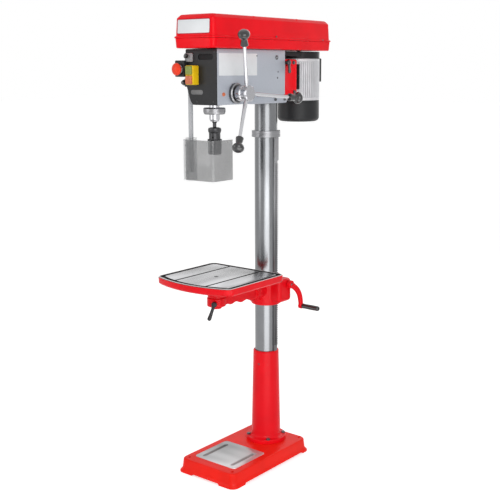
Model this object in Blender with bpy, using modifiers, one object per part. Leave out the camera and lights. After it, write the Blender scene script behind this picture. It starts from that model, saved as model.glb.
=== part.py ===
"""Floor-standing drill press with a crank-raised table, a sprung quill and a belt drive under a hinged cover.

Metres, +Z up. The operator stands at -Y and +X is the operator's right hand. Sizes and places are written about
the column's axis, and the last step moves the whole press so that its box's bottom centre is the origin.
"""

import math

import bmesh
import bpy
from mathutils import Vector

# Clearances
TOUCH = 0.0003      # between two pieces that touch
RUN = 0.0004        # radial, where a faceted shaft turns or slides in a bore
KEY = 0.0006        # round a square-sided piece in its slot

# Column, rack and stand
COLUMN_R = 0.046
COLUMN_WALL = 0.005
COLUMN_TOP = 1.660
BASE_HALF = 0.151
BASE_FRONT = -0.3955
BASE_REAR = 0.113
BASE_TOP = 0.057
BASE_WALL = 0.012
BASE_FLARE = 0.011
SUPPORT_TOP = 0.4525
SUPPORT_TOP_R = 0.0534
SUPPORT_FOOT_R = 0.0615
FLANGE_R = 0.0843
FLANGE_T = 0.0168
FLANGE_PCD_R = 0.072
FLANGE_BOLTS = 4
RACK_MODULE = 0.0025
RACK_WIDTH = 0.020
RACK_BACK = 0.0052
COLLAR_R = 0.0578
COLLAR_LOW = 1.343
COLLAR_HEIGHT = 0.026

# Work table
TABLE_TOP = 0.820
TABLE_HALF = 0.188
TABLE_REAR = -0.116
TABLE_FRONT = -0.455
TABLE_BOW = 0.033
TABLE_T = 0.030
TABLE_RIM = 0.008
TROUGH_W = 0.022
TROUGH_DEEP = 0.007
STEM_R = 0.021
ARM_RING_R = 0.037
ARM_RING_LOW = 0.703
ARM_RING_HIGH = 0.738
TILT_Z = 0.720
TILT_FLANGE_R = 0.042
TILT_FACE = -0.0860
TILT_BOLT_R = 0.008
BRACKET_R = 0.0635
BRACKET_LOW = 0.654
BRACKET_HIGH = 0.772
LEVER_ANGLE = math.radians(31)

# Table lift
PINION_TEETH = 12
CRANK_Y = 0.020
CRANK_Z = 0.7435
CRANK_FACE = 0.104
CRANK_THROW = 0.117
CRANK_LEAN = math.radians(30.8)
CRANK_SHAFT_R = 0.0075
GRIP_R = 0.0085
GRIP_LENGTH = 0.082

# Head
SPINDLE_Y = -0.3135
HEAD_HALF = 0.0774
PANEL_T = 0.0017
HEAD_FRONT = -0.385
COVER_BACK = -0.352
HEAD_REAR = 0.023
HEAD_LOW = 1.481
HEAD_REAR_LOW = 1.512
HEAD_TOP = 1.683
TAIL_REAR = 0.112
TAIL_HALF = 0.072
TAIL_LOW = 1.510
TAIL_TOP = 1.649
CLAMP_HALF = 0.062
CLAMP_REAR = 0.060

# Quill, spindle and chuck
QUILL_R = 0.0195
QUILL_TOP = 1.648
QUILL_LOW = 1.417
QUILL_BORE = 0.0115
BEARING_R = 0.0162
BEARING_T = 0.012
SPINDLE_R = 0.0095
SPINDLE_TOP = 1.788
NECK_R = 0.007
NECK_LOW = 1.368
QUILL_COLLAR_R = 0.042
QUILL_COLLAR_LOW = 1.444
QUILL_COLLAR_T = 0.025
CHUCK_TOP = 1.396
CHUCK_SPLIT = 1.352
CHUCK_LOW = 1.293
SLEEVE_R = 0.0256
CORE_R = 0.0228
JAW_R = 0.0042
JAW_LENGTH = 0.030
JAW_LEAN = math.radians(12)

# Feed
FEED_MODULE = 0.002
FEED_TEETH = 12
FEED_Z = 1.5225
FEED_SHAFT_R = 0.0080
RING_R = 0.0375
HUB_R = 0.029
HUB_FACE = 0.152
SPOKE_X = 0.134
SPOKE_LEAN = math.radians(16)
SPOKE_REACH = 0.238
SPOKE_ANGLES = (115, 235, 355)

# Belt cover and drive
COVER_HALF = 0.1015
COVER_FRONT = -0.430
COVER_REAR = 0.320
COVER_LOW = 1.685
COVER_SEAM = 1.721
COVER_TOP = 1.808
COVER_T = 0.0020
COVER_DRAFT = 0.007
COVER_CORNER = 0.022
IDLER_Y = -0.048
IDLER_SHAFT_LOW = 1.664
MOTOR_Y = 0.220
PULLEY_LOW = 1.706
STEP_H = 0.018
BELT_T = 0.008
STEPS = (0.034, 0.042, 0.050, 0.058)

# Motor
MOTOR_R = 0.0870
MOTOR_LOW = 1.484
MOTOR_HIGH = 1.6535
FAN_LOW = 1.397

# Guard
ROD_X = -0.0965
ROD_Y = -0.340
ROD_R = 0.009
GUARD_TOP = 1.354
GUARD_LOW = 1.192
SHEET_TOP = 1.352
SHEET_LOW = 1.201
GUARD_FRONT = -0.407
GUARD_HALF = 0.072
GUARD_T = 0.003
GUARD_TUBE_R = 0.0225

RACK_PITCH = math.pi * RACK_MODULE
RACK_IN = COLUMN_R + TOUCH
RACK_LINE = RACK_IN + RACK_BACK + 1.2 * RACK_MODULE
PINION_X = RACK_LINE + RACK_MODULE * PINION_TEETH / 2
FEED_PITCH_R = FEED_MODULE * FEED_TEETH / 2
FEED_LINE = QUILL_R - 0.95 * FEED_MODULE
FEED_Y = SPINDLE_Y + FEED_LINE + FEED_PITCH_R

# Each moving body's axis point, and the body that carries it
BODIES = {
    "stand": ((0, 0, 0), None),
    "table_swing": ((0, 0, TILT_Z), "stand"),
    "table_carriage": ((0, 0, TILT_Z), "table_swing"),
    "crank": ((CRANK_FACE, CRANK_Y, CRANK_Z), "table_carriage"),
    "crank_grip": (
        (
            CRANK_FACE + 0.021,
            CRANK_Y + CRANK_THROW * math.sin(CRANK_LEAN),
            CRANK_Z - CRANK_THROW * math.cos(CRANK_LEAN),
        ),
        "crank",
    ),
    "lift_pinion": ((PINION_X, 0, TILT_Z), "table_carriage"),
    "column_clamp": ((0, 0.074, 0.700), "table_carriage"),
    "table_arm": ((0, TILT_FACE, TILT_Z), "table_carriage"),
    "table_clamp": ((0, SPINDLE_Y, TILT_Z), "table_arm"),
    "table": ((0, SPINDLE_Y, TABLE_TOP), "table_arm"),
    "quill": ((0, SPINDLE_Y, QUILL_LOW), "stand"),
    "spindle": ((0, SPINDLE_Y, CHUCK_SPLIT), "quill"),
    "chuck_sleeve": ((0, SPINDLE_Y, CHUCK_SPLIT), "spindle"),
    "feed": ((0, FEED_Y, FEED_Z), "stand"),
    "depth_ring": ((HEAD_HALF, FEED_Y, FEED_Z), "feed"),
    "spindle_pulley": ((0, SPINDLE_Y, PULLEY_LOW), "stand"),
    "idler_pulley": ((0, IDLER_Y, PULLEY_LOW), "stand"),
    "motor": ((0, MOTOR_Y, MOTOR_HIGH), "stand"),
    "motor_pulley": ((0, MOTOR_Y, PULLEY_LOW), "motor"),
    "tension_lever": ((TAIL_HALF, 0.036, 1.636), "stand"),
    "cover_lid": ((-COVER_HALF - 0.006, -0.055, COVER_SEAM), "stand"),
    "start_button": ((-0.0295, -0.418, 1.606), "stand"),
    "stop_button": ((-0.0295, -0.418, 1.571), "stand"),
    "estop_button": ((-0.0905, -0.405, 1.610), "stand"),
    "guard_rod": ((ROD_X, ROD_Y, GUARD_TOP), "stand"),
    "chuck_guard": ((ROD_X, ROD_Y, GUARD_TOP), "guard_rod"),
    "guard_knob": ((ROD_X, ROD_Y - 0.024, 1.561), "stand"),
}
for number in range(3):
    BODIES[f"chuck_jaw_{number + 1}"] = ((0, SPINDLE_Y, CHUCK_LOW), "spindle")

# Finish: base colour, roughness, metallic
FINISHES = {
    "red_paint": ((0.76, 0.012, 0.022), 0.30, 0.0),
    "silver_paint": ((0.58, 0.60, 0.62), 0.42, 0.1),
    "black_plastic": ((0.025, 0.026, 0.028), 0.45, 0.0),
    "black_paint": ((0.02, 0.02, 0.022), 0.40, 0.0),
    "ground_steel": ((0.62, 0.63, 0.64), 0.24, 1.0),
    "bright_steel": ((0.78, 0.78, 0.79), 0.14, 1.0),
    "dark_steel": ((0.12, 0.12, 0.125), 0.35, 1.0),
    "cast_alloy": ((0.66, 0.67, 0.68), 0.40, 0.9),
    "belt_rubber": ((0.02, 0.02, 0.02), 0.80, 0.0),
    "yellow_plastic": ((0.88, 0.72, 0.02), 0.40, 0.0),
    "green_plastic": ((0.30, 0.52, 0.12), 0.35, 0.0),
    "red_plastic": ((0.85, 0.10, 0.05), 0.35, 0.0),
    "clear_plastic": ((0.62, 0.63, 0.64), 0.12, 0.0),
}

EMPTIES = {}


def clear_scene():
    for obj in list(bpy.data.objects):
        bpy.data.objects.remove(obj, do_unlink=True)


def make_collection(name):
    found = bpy.data.collections.new(name)
    bpy.context.scene.collection.children.link(found)
    return found


def make_material(name, colour, roughness, metallic):
    made = bpy.data.materials.new(name)
    made.use_nodes = True
    shader = made.node_tree.nodes["Principled BSDF"]
    shader.inputs["Base Color"].default_value = (*colour, 1.0)
    shader.inputs["Roughness"].default_value = roughness
    shader.inputs["Metallic"].default_value = metallic


def make_bodies():
    for name, (place, carrier) in BODIES.items():
        empty = bpy.data.objects.new(f"axis_{name}", None)
        empty.empty_display_size = 0.03
        parts.objects.link(empty)
        EMPTIES[name] = empty
        if carrier:
            empty.parent = EMPTIES[carrier]
            empty.location = Vector(place) - Vector(BODIES[carrier][0])


def place(obj, body, at=None, turn=(0, 0, 0)):
    """Hangs a piece on its body's axis. at is where its own origin goes, measured from the column's foot."""
    obj.parent = EMPTIES[body]
    origin = Vector(BODIES[body][0])
    obj.location = Vector(at) - origin if at is not None else (0, 0, 0)
    obj.rotation_euler = turn
    return obj


def link(name, mesh, finish=None, smooth=True):
    obj = bpy.data.objects.new(name, mesh)
    (parts if finish else cutters).objects.link(obj)
    if finish:
        mesh.materials.append(bpy.data.materials[finish])
    else:
        obj.hide_render = True
        obj.display_type = "WIRE"
    if smooth and len(mesh.polygons):
        mesh.shade_smooth()
        mesh.set_sharp_from_angle(angle=math.radians(35))
    return obj


def from_bmesh(name, bm, finish=None, smooth=True):
    mesh = bpy.data.meshes.new(name)
    bm.to_mesh(mesh)
    bm.free()
    return link(name, mesh, finish, smooth)


def box(name, size, finish=None, bevel=0.0, segments=2):
    bm = bmesh.new()
    bmesh.ops.create_cube(bm, size=1.0)
    bmesh.ops.scale(bm, vec=size, verts=bm.verts)
    obj = from_bmesh(name, bm, finish, smooth=bevel > 0)
    if bevel:
        round_edges(obj, bevel, segments)
    return obj


def sides_for(radius):
    """How many flats a round of this radius gets."""
    return max(8, min(24, 4 * round(radius * 100 + 2.0)))


def cylinder(name, radius, length, finish=None, sides=None):
    """A cylinder about its own Z axis, centred on its origin."""
    sides = sides or sides_for(radius)
    bm = bmesh.new()
    bmesh.ops.create_cone(
        bm, cap_ends=True, segments=sides, radius1=radius, radius2=radius, depth=length
    )
    return from_bmesh(name, bm, finish)


def hole_for(name, shaft, length, clearance=RUN):
    """A cutter whose flats clear a shaft of this radius."""
    sides = sides_for(shaft)
    return cylinder(name, bore_r(shaft, clearance), length, sides=sides)


def bore_r(shaft, clearance=RUN, sides=None):
    """The corner radius of a faceted bore whose flats clear the shaft."""
    return (shaft + clearance) / math.cos(math.pi / (sides or sides_for(shaft)))


def ball(name, radius, finish=None):
    bm = bmesh.new()
    bmesh.ops.create_uvsphere(bm, u_segments=16, v_segments=8, radius=radius)
    return from_bmesh(name, bm, finish)


def turned(name, profile, finish=None, closed=False, sides=None):
    """A piece turned about its own Z axis. The profile runs down its outer side, top to bottom."""
    sides = sides or sides_for(max(radius for radius, height in profile))
    mesh = bpy.data.meshes.new(name)
    bm = bmesh.new()
    points = [bm.verts.new((radius, 0, height)) for radius, height in profile]
    for first, second in zip(points, points[1:]):
        bm.edges.new((first, second))
    if closed:
        bm.edges.new((points[-1], points[0]))
    bm.to_mesh(mesh)
    bm.free()
    obj = link(name, mesh, finish)
    spin = obj.modifiers.new("turn", "SCREW")
    spin.axis = "Z"
    spin.steps = spin.render_steps = sides
    spin.use_merge_vertices = True
    spin.merge_threshold = 1e-5
    spin.use_smooth_shade = True
    return obj


def tube_profile(outer, inner, high, low, chamfer=0.0):
    """A plain ring's closed profile, with its outer corners chamfered."""
    return [
        (outer - chamfer, high),
        (outer, high - chamfer),
        (outer, low + chamfer),
        (outer - chamfer, low),
        (inner, low),
        (inner, high),
    ] if chamfer else [(outer, high), (outer, low), (inner, low), (inner, high)]


def evaluated_mesh(obj):
    bpy.context.view_layer.update()
    graph = bpy.context.evaluated_depsgraph_get()
    mesh = bpy.data.meshes.new_from_object(obj.evaluated_get(graph))
    bm = bmesh.new()
    bm.from_mesh(mesh)
    bmesh.ops.remove_doubles(bm, verts=bm.verts, dist=1e-5)
    bmesh.ops.recalc_face_normals(bm, faces=bm.faces)
    bm.to_mesh(mesh)
    bm.free()
    return mesh


def curve_mesh(curve):
    holder = bpy.data.objects.new("curve", curve)
    bpy.context.scene.collection.objects.link(holder)
    mesh = evaluated_mesh(holder)
    bpy.data.objects.remove(holder, do_unlink=True)
    bpy.data.curves.remove(curve)
    mesh.materials.clear()
    return mesh


def flat(name, outline, thickness, finish=None, smooth=True):
    """An outline in the XY plane, as thick as told, centred on that plane."""
    rings = [(outline, -thickness / 2), (outline, thickness / 2)]
    return loft(name, rings, finish, smooth=smooth)


def rod(name, points, radius, finish=None, radii=None, rounds=3):
    """A bar of round section along points, with filled ends."""
    curve = bpy.data.curves.new(name, "CURVE")
    curve.dimensions = "3D"
    curve.bevel_depth = radius
    curve.bevel_resolution = rounds
    curve.use_fill_caps = True
    spline = curve.splines.new("POLY")
    spline.points.add(len(points) - 1)
    for index, (point, co) in enumerate(zip(spline.points, points)):
        point.co = (*co, 1)
        point.radius = radii[index] if radii else 1.0
    return link(name, curve_mesh(curve), finish)


def modify(obj, other, operation):
    change = obj.modifiers.new(other.name, "BOOLEAN")
    change.operation = operation
    change.object = other
    change.solver = "EXACT"
    return obj


def cut(obj, *others):
    for other in others:
        modify(obj, other, "DIFFERENCE")
    return obj


def join(obj, *others):
    for other in others:
        modify(obj, other, "UNION")
    return obj


def round_edges(obj, width, segments=2, angle=40):
    edge = obj.modifiers.new("edges", "BEVEL")
    edge.width = width
    edge.segments = segments
    edge.limit_method = "ANGLE"
    edge.angle_limit = math.radians(angle)
    return obj


def arc(centre, radius, start, end, steps):
    """Points of an arc, from the start angle to the end angle in degrees."""
    angles = [math.radians(start + (end - start) * step / steps) for step in range(steps + 1)]
    return [(centre[0] + radius * math.cos(a), centre[1] + radius * math.sin(a)) for a in angles]


def rounded(x_low, x_high, y_low, y_high, radius, steps=3):
    """A rectangle's outline with round corners."""
    x_in, x_out = x_low + radius, x_high - radius
    y_in, y_out = y_low + radius, y_high - radius
    return (
        arc((x_out, y_in), radius, -90, 0, steps)
        + arc((x_out, y_out), radius, 0, 90, steps)
        + arc((x_in, y_out), radius, 90, 180, steps)
        + arc((x_in, y_in), radius, 180, 270, steps)
    )


def loft(name, rings, finish=None, close_low=True, close_high=True, smooth=True):
    """A skin through outlines with the same number of points, each given with its height."""
    bm = bmesh.new()
    loops = [[bm.verts.new((x, y, height)) for x, y in outline] for outline, height in rings]
    for lower, upper in zip(loops, loops[1:]):
        for index in range(len(lower)):
            after = (index + 1) % len(lower)
            bm.faces.new((lower[index], lower[after], upper[after], upper[index]))
    if close_low:
        bm.faces.new(list(reversed(loops[0])))
    if close_high:
        bm.faces.new(loops[-1])
    if close_low and close_high:
        bmesh.ops.recalc_face_normals(bm, faces=bm.faces)
    return from_bmesh(name, bm, finish, smooth)


def gear_outline(module, teeth, root, addendum, share, first_angle):
    """A spur pinion with straight-sided teeth. share is how much of the pitch a tooth fills at the pitch line."""
    pitch_r = module * teeth / 2
    half = share * math.pi / teeth
    slope = math.tan(math.radians(20)) / pitch_r
    tip_half = half - addendum * slope
    root_half = half + (pitch_r - root) * slope
    outline = []
    for tooth in range(teeth):
        middle = first_angle + 2 * math.pi * tooth / teeth
        for radius, angle in (
            (root, -root_half),
            (pitch_r + addendum, -tip_half),
            (pitch_r + addendum, tip_half),
            (root, root_half),
        ):
            outline.append((radius * math.cos(middle + angle), radius * math.sin(middle + angle)))
    return outline


def rack_outline(low, high, back, line, module, share, middle, first, last):
    """A toothed bar in (depth, height), with a space between two teeth at the height called middle."""
    pitch = math.pi * module
    lean = math.tan(math.radians(20))
    root, tip = line - 1.2 * module, line + 0.9 * module
    outline = [(back, low), (root, low)]
    for count in range(math.ceil((first - middle) / pitch), math.floor((last - middle) / pitch)):
        centre = middle + (count + 0.5) * pitch
        half = share * pitch / 2
        outline += [
            (root, centre - half - 1.2 * module * lean),
            (tip, centre - half + 0.9 * module * lean),
            (tip, centre + half - 0.9 * module * lean),
            (root, centre + half + 1.2 * module * lean),
        ]
    return outline + [(root, last + pitch / 2), (tip, last + pitch / 2), (tip, high), (back, high)]


ALONG_X = (0, math.pi / 2, 0)
ALONG_Y = (math.pi / 2, 0, 0)
ALONG_X_UP = (math.pi / 2, 0, math.pi / 2)     # an outline's own x along +Y and its own y up
TOOTH_SHARE = 0.40


# ---------------------------------------------------------------- stand


def make_base():
    def outline(shrink, corner=0.030):
        return rounded(
            -BASE_HALF + shrink,
            BASE_HALF - shrink,
            BASE_FRONT + shrink,
            BASE_REAR - shrink,
            corner,
        )

    base = loft(
        "base",
        [
            (outline(0), 0),
            (outline(BASE_FLARE * 0.55), BASE_TOP * 0.22),
            (outline(BASE_FLARE * 0.85), BASE_TOP - 0.006),
            (outline(BASE_FLARE + 0.004), BASE_TOP),
        ],
        "red_paint",
    )
    place(base, "stand")
    hollow = loft(
        "base_hollow",
        [
            (outline(BASE_WALL, 0.020), -0.01),
            (outline(BASE_WALL + BASE_FLARE, 0.020), BASE_TOP - BASE_WALL),
        ],
    )
    pad = flat("base_pad", rounded(-0.106, 0.106, -0.338, -0.139, 0.014), 0.010)
    place(pad, "stand", (0, 0, BASE_TOP + 0.0015 - 0.005))
    front_arch = box("base_front_arch", (0.150, 0.60, 0.012))
    place(front_arch, "stand", (0, BASE_FRONT + 0.25, 0))
    side_arch = box("base_side_arch", (0.40, 0.330, 0.012))
    place(side_arch, "stand", (0, -0.130, 0))
    join(base, pad)
    cut(base, place(hollow, "stand"), front_arch, side_arch)
    for side in (-1, 1):
        slot = flat(f"base_slot_{side}", rounded(-0.008, 0.008, -0.076, 0.076, 0.0078), 0.06)
        cut(base, place(slot, "stand", (side * 0.074, -0.2435, BASE_TOP)))
        for y in (-0.359, 0.084):
            hole = cylinder(f"base_hole_{side}_{y}", 0.0065, 0.06)
            cut(base, place(hole, "stand", (side * 0.1145, y, BASE_TOP)))
    for obj in flange_holes("base", 0.0052):
        cut(base, obj)


def flange_holes(name, radius):
    for index in range(FLANGE_BOLTS):
        angle = math.radians(45 + 360 / FLANGE_BOLTS * index)
        hole = cylinder(f"{name}_bolt_hole_{index}", radius, 0.06)
        at = (FLANGE_PCD_R * math.cos(angle), FLANGE_PCD_R * math.sin(angle), BASE_TOP + 0.01)
        yield place(hole, "stand", at)


def make_column_support():
    foot = BASE_TOP + TOUCH
    top = foot + FLANGE_T
    fillet = 0.012
    bore = bore_r(COLUMN_R, RUN, sides_for(FLANGE_R))
    profile = [(SUPPORT_TOP_R, SUPPORT_TOP)]
    profile += arc((SUPPORT_FOOT_R + fillet, top + fillet), fillet, 180, 270, 2)
    profile += [(FLANGE_R - 0.002, top), (FLANGE_R, top - 0.002), (FLANGE_R, foot), (bore, foot)]
    profile += [(bore, SUPPORT_TOP)]
    support = turned("column_support", profile, "red_paint", closed=True)
    place(support, "stand")
    for obj in flange_holes("support", 0.0052):
        cut(support, obj)


def make_column():
    low = BASE_TOP + 2 * TOUCH
    profile = tube_profile(COLUMN_R, COLUMN_R - COLUMN_WALL, COLUMN_TOP, low)
    place(turned("column", profile, "ground_steel", closed=True), "stand")
    profile = tube_profile(
        COLLAR_R, bore_r(COLUMN_R, RUN, sides_for(COLLAR_R)), COLLAR_LOW + COLLAR_HEIGHT, COLLAR_LOW, 0.0015
    )
    place(turned("rack_collar", profile, "cast_alloy", closed=True), "stand")


def make_rack():
    outline = rack_outline(
        SUPPORT_TOP + TOUCH,
        COLLAR_LOW - TOUCH,
        RACK_IN,
        RACK_LINE,
        RACK_MODULE,
        TOOTH_SHARE,
        TILT_Z,
        SUPPORT_TOP + 0.02,
        1.246,
    )
    rack = flat("rack", outline, RACK_WIDTH, "ground_steel", smooth=False)
    place(rack, "table_swing", (0, 0, 0), ALONG_Y)


# ---------------------------------------------------------------- table


def make_bracket():
    height = BRACKET_HIGH - BRACKET_LOW
    middle = (BRACKET_HIGH + BRACKET_LOW) / 2
    bracket = cylinder("table_bracket", BRACKET_R, height, "red_paint")
    place(bracket, "table_carriage", (0, 0, middle))
    boss = cylinder("bracket_boss", TILT_FLANGE_R, 0.060)
    place(boss, "table_carriage", (0, TILT_FACE + 0.030, TILT_Z), ALONG_Y)
    housing = box("bracket_housing", (0.070, 0.084, 0.092), bevel=0.010)
    place(housing, "table_carriage", (0.0645, 0.006, 0.729))
    lugs = box("bracket_lugs", (0.050, 0.050, 0.070), bevel=0.008)
    place(lugs, "table_carriage", (0, 0.070, 0.700))
    join(bracket, boss, housing, lugs)
    bore = hole_for("bracket_bore", COLUMN_R, 0.30)
    rack_tip = RACK_LINE + 0.9 * RACK_MODULE
    groove = box("bracket_rack_groove", (0.040, RACK_WIDTH + 2 * KEY, 0.30))
    place(groove, "table_carriage", (rack_tip + KEY - 0.020, 0, middle))
    slit = box("bracket_slit", (0.006, 0.10, 0.30))
    pocket = box("bracket_gear_pocket", (0.0430, 0.0560, 0.0600))
    place(pocket, "table_carriage", (PINION_X + 0.0025, 0.0040, 0.7310))
    crank_bore = hole_for("bracket_crank_bore", CRANK_SHAFT_R, 0.060)
    place(crank_bore, "table_carriage", (CRANK_FACE - 0.020, CRANK_Y, CRANK_Z), ALONG_X)
    shaft_bore = hole_for("bracket_pinion_bore", 0.006, 0.070)
    place(shaft_bore, "table_carriage", (PINION_X, 0.006, TILT_Z), ALONG_Y)
    tilt_bore = hole_for("bracket_tilt_bore", TILT_BOLT_R, 0.080, 0)
    place(tilt_bore, "table_carriage", (0, TILT_FACE + 0.030, TILT_Z), ALONG_Y)
    clamp_bore = hole_for("bracket_clamp_bore", 0.006, 0.080)
    place(clamp_bore, "table_carriage", (0, 0.074, 0.700), ALONG_X)
    cut(
        bracket,
        place(bore, "table_carriage", (0, 0, middle)),
        groove,
        place(slit, "table_carriage", (0, 0.090, middle)),
        pocket,
        crank_bore,
        shaft_bore,
        tilt_bore,
        clamp_bore,
    )


def make_tilt_bolt():
    """The hexagon-headed bolt that the arm tilts about, with its head inside the arm."""
    rear = -COLUMN_R - 0.0012
    front = TILT_FACE - 0.012 - 2 * TOUCH
    length = rear - front
    bolt = cylinder("tilt_bolt", TILT_BOLT_R - TOUCH, length + 0.004, "dark_steel")
    place(bolt, "table_carriage", (0, (rear + front - 0.004) / 2, TILT_Z), ALONG_Y)
    head = cylinder("tilt_bolt_head", 0.014, 0.010, sides=6)
    join(bolt, place(head, "table_carriage", (0, front - 0.005, TILT_Z), ALONG_Y))


def make_arm():
    """The hollow arm between the tilting flange and the ring that holds the table's stem."""
    rear = TILT_FACE - TOUCH
    ring_rear = SPINDLE_Y + ARM_RING_R
    underside = [(ring_rear - 0.020, ARM_RING_LOW + 0.004)]
    for step in range(9):
        share = step / 8
        y = ring_rear + 0.004 + (rear - 0.014 - ring_rear) * share
        z = ARM_RING_LOW + 0.002 - 0.012 * share - 0.004 * math.sin(share * 5.5 * math.pi)
        underside.append((y, z))
    outline = underside + [(rear, 0.690), (rear, 0.752), (ring_rear + 0.008, 0.742)]
    outline += [(ring_rear - 0.001, ARM_RING_HIGH - 0.0006), (ring_rear - 0.020, ARM_RING_HIGH - 0.0012)]
    arm = flat("table_arm", outline, 0.060, "red_paint")
    place(arm, "table_arm", (0, 0, 0), ALONG_X_UP)
    flange = place(
        cylinder("arm_flange", TILT_FLANGE_R, 0.012),
        "table_arm",
        (0, rear - 0.006, TILT_Z),
        ALONG_Y,
    )
    ring_height = ARM_RING_HIGH - ARM_RING_LOW
    ring_middle = (ARM_RING_HIGH + ARM_RING_LOW) / 2
    ring = cylinder("arm_ring", ARM_RING_R, ring_height)
    place(ring, "table_arm", (0, SPINDLE_Y, ring_middle))
    spot = cylinder("arm_lever_boss", 0.0105, 0.030)
    reach = ARM_RING_R - 0.010
    angle = LEVER_ANGLE
    at = (reach * math.sin(angle), SPINDLE_Y - reach * math.cos(angle), TILT_Z)
    place(spot, "table_arm", at, (math.pi / 2, 0, angle))
    join(arm, flange, ring, spot)
    channel = box("arm_channel", (0.044, rear - 0.012 - ring_rear - 0.006, 0.060))
    place(channel, "table_arm", (0, (rear - 0.012 + ring_rear + 0.006) / 2, 0.736 - 0.030))
    bore = hole_for("arm_ring_bore", STEM_R, 0.10)
    bolt_bore = hole_for("arm_bolt_bore", TILT_BOLT_R, 0.060)
    place(bolt_bore, "table_arm", (0, rear - 0.010, TILT_Z), ALONG_Y)
    screw_bore = hole_for("arm_screw_bore", 0.006, 0.060)
    place(screw_bore, "table_arm", (0.045 * math.sin(angle), SPINDLE_Y - 0.045 * math.cos(angle), TILT_Z),
          (math.pi / 2, 0, angle))
    cut(arm, channel, place(bore, "table_arm", (0, SPINDLE_Y, ring_middle)), bolt_bore, screw_bore)


def make_lever(name, body, along, turn, screw, hub_r, throw, lean):
    """A clamping lever: a screw along its own Z, a round hub and a tapered arm."""
    lever = cylinder(name, 0.006, screw, "black_paint")
    place(lever, body, None, turn)
    lever.location = along(screw / 2)
    hub = cylinder(f"{name}_hub", hub_r, 0.016)
    place(hub, body, None, turn)
    hub.location = along(screw + 0.007)
    end = (throw * math.sin(lean), -throw * math.cos(lean), 0.008)
    arm = rod(f"{name}_arm", [(0, 0, 0), (end[0] * 0.2, end[1] * 0.2, 0.001), end], 0.0048, radii=[1.1, 1.0, 1.25])
    place(arm, body, None, turn)
    arm.location = along(screw + 0.007)
    tip = ball(f"{name}_tip", 0.0072)
    place(tip, body, None, turn)
    local = Vector(end)
    arm_turn = arm.rotation_euler.to_matrix()
    tip.location = Vector(arm.location) + arm_turn @ local
    return join(lever, hub, arm, tip)


def make_clamp_levers():
    out = Vector((math.sin(LEVER_ANGLE), -math.cos(LEVER_ANGLE), 0))
    start = STEM_R + 0.001
    make_lever(
        "table_clamp_lever",
        "table_clamp",
        lambda reach: out * (start + reach),
        (math.pi / 2, 0, LEVER_ANGLE),
        ARM_RING_R + 0.0065 - start,
        0.0095,
        0.060,
        math.radians(-18),
    )
    make_lever(
        "column_clamp_lever",
        "column_clamp",
        lambda reach: Vector((0.020 - reach, 0, 0)),
        (math.pi / 2, 0, -math.pi / 2),
        0.047,
        0.0105,
        0.075,
        math.radians(20),
    )


def table_outline(inset, corner, bow_steps=6):
    """The table's outline, square at the back with a bowed front edge."""
    half = TABLE_HALF - inset
    rear = TABLE_REAR - inset
    side_front = TABLE_FRONT + inset + corner
    chord = half - corner * 0.55
    points = []
    for step in range(bow_steps + 1):
        share = -1 + 2 * step / bow_steps
        points.append((share * chord, TABLE_FRONT + inset - TABLE_BOW * (1 - share * share)))
    points += arc((half - corner, side_front), corner, -30, 0, 2)
    points += arc((half - corner, rear - corner), corner, 0, 90, 3)
    points += arc((-half + corner, rear - corner), corner, 90, 180, 3)
    points += arc((-half + corner, side_front), corner, 180, 210, 2)
    return points


def make_table():
    middle = TABLE_TOP - TABLE_T / 2
    table = loft(
        "table",
        [
            (table_outline(0.006, 0.024), TABLE_TOP - TABLE_T),
            (table_outline(0.001, 0.026), TABLE_TOP - TABLE_T + 0.006),
            (table_outline(0.0, 0.026), TABLE_TOP - 0.002),
            (table_outline(0.0015, 0.026), TABLE_TOP),
        ],
        "red_paint",
    )
    place(table, "table", (0, 0, 0))
    outer = table_outline(TABLE_RIM, 0.020)
    inner = table_outline(TABLE_RIM + TROUGH_W, 0.014)
    trough = flat("table_trough", outer, TROUGH_DEEP * 2)
    island = flat("table_island", inner, TROUGH_DEEP * 4)
    place(trough, "table", (0, 0, TABLE_TOP))
    cut(trough, place(island, "table", (0, 0, TABLE_TOP)))
    hollow = flat("table_hollow", table_outline(0.018, 0.016), 0.020)
    place(hollow, "table", (0, 0, TABLE_TOP - TABLE_T))
    stem_low = ARM_RING_LOW - 0.010
    stem_profile = [
        (0.0, middle),
        (0.050, middle),
        (0.050, TABLE_TOP - TABLE_T - 0.006),
        (0.036, TABLE_TOP - TABLE_T - 0.016),
        (0.034, ARM_RING_HIGH + TOUCH),
        (STEM_R, ARM_RING_HIGH + TOUCH),
        (STEM_R, stem_low),
        (0.0, stem_low),
    ]
    stem = turned("table_stem", stem_profile)
    place(stem, "table", (0, SPINDLE_Y, 0))
    cut(table, trough, hollow)
    join(table, stem)
    for side in (-1, 1):
        groove = box(f"table_groove_{side}", (0.010, 0.315, 0.010))
        cut(table, place(groove, "table", (side * 0.079, -0.2935, TABLE_TOP)))
    centre = cylinder("table_centre_hole", 0.0085, 0.20)
    cut(table, place(centre, "table", (0, SPINDLE_Y, TABLE_TOP - 0.05)))


# ---------------------------------------------------------------- table lift


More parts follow.
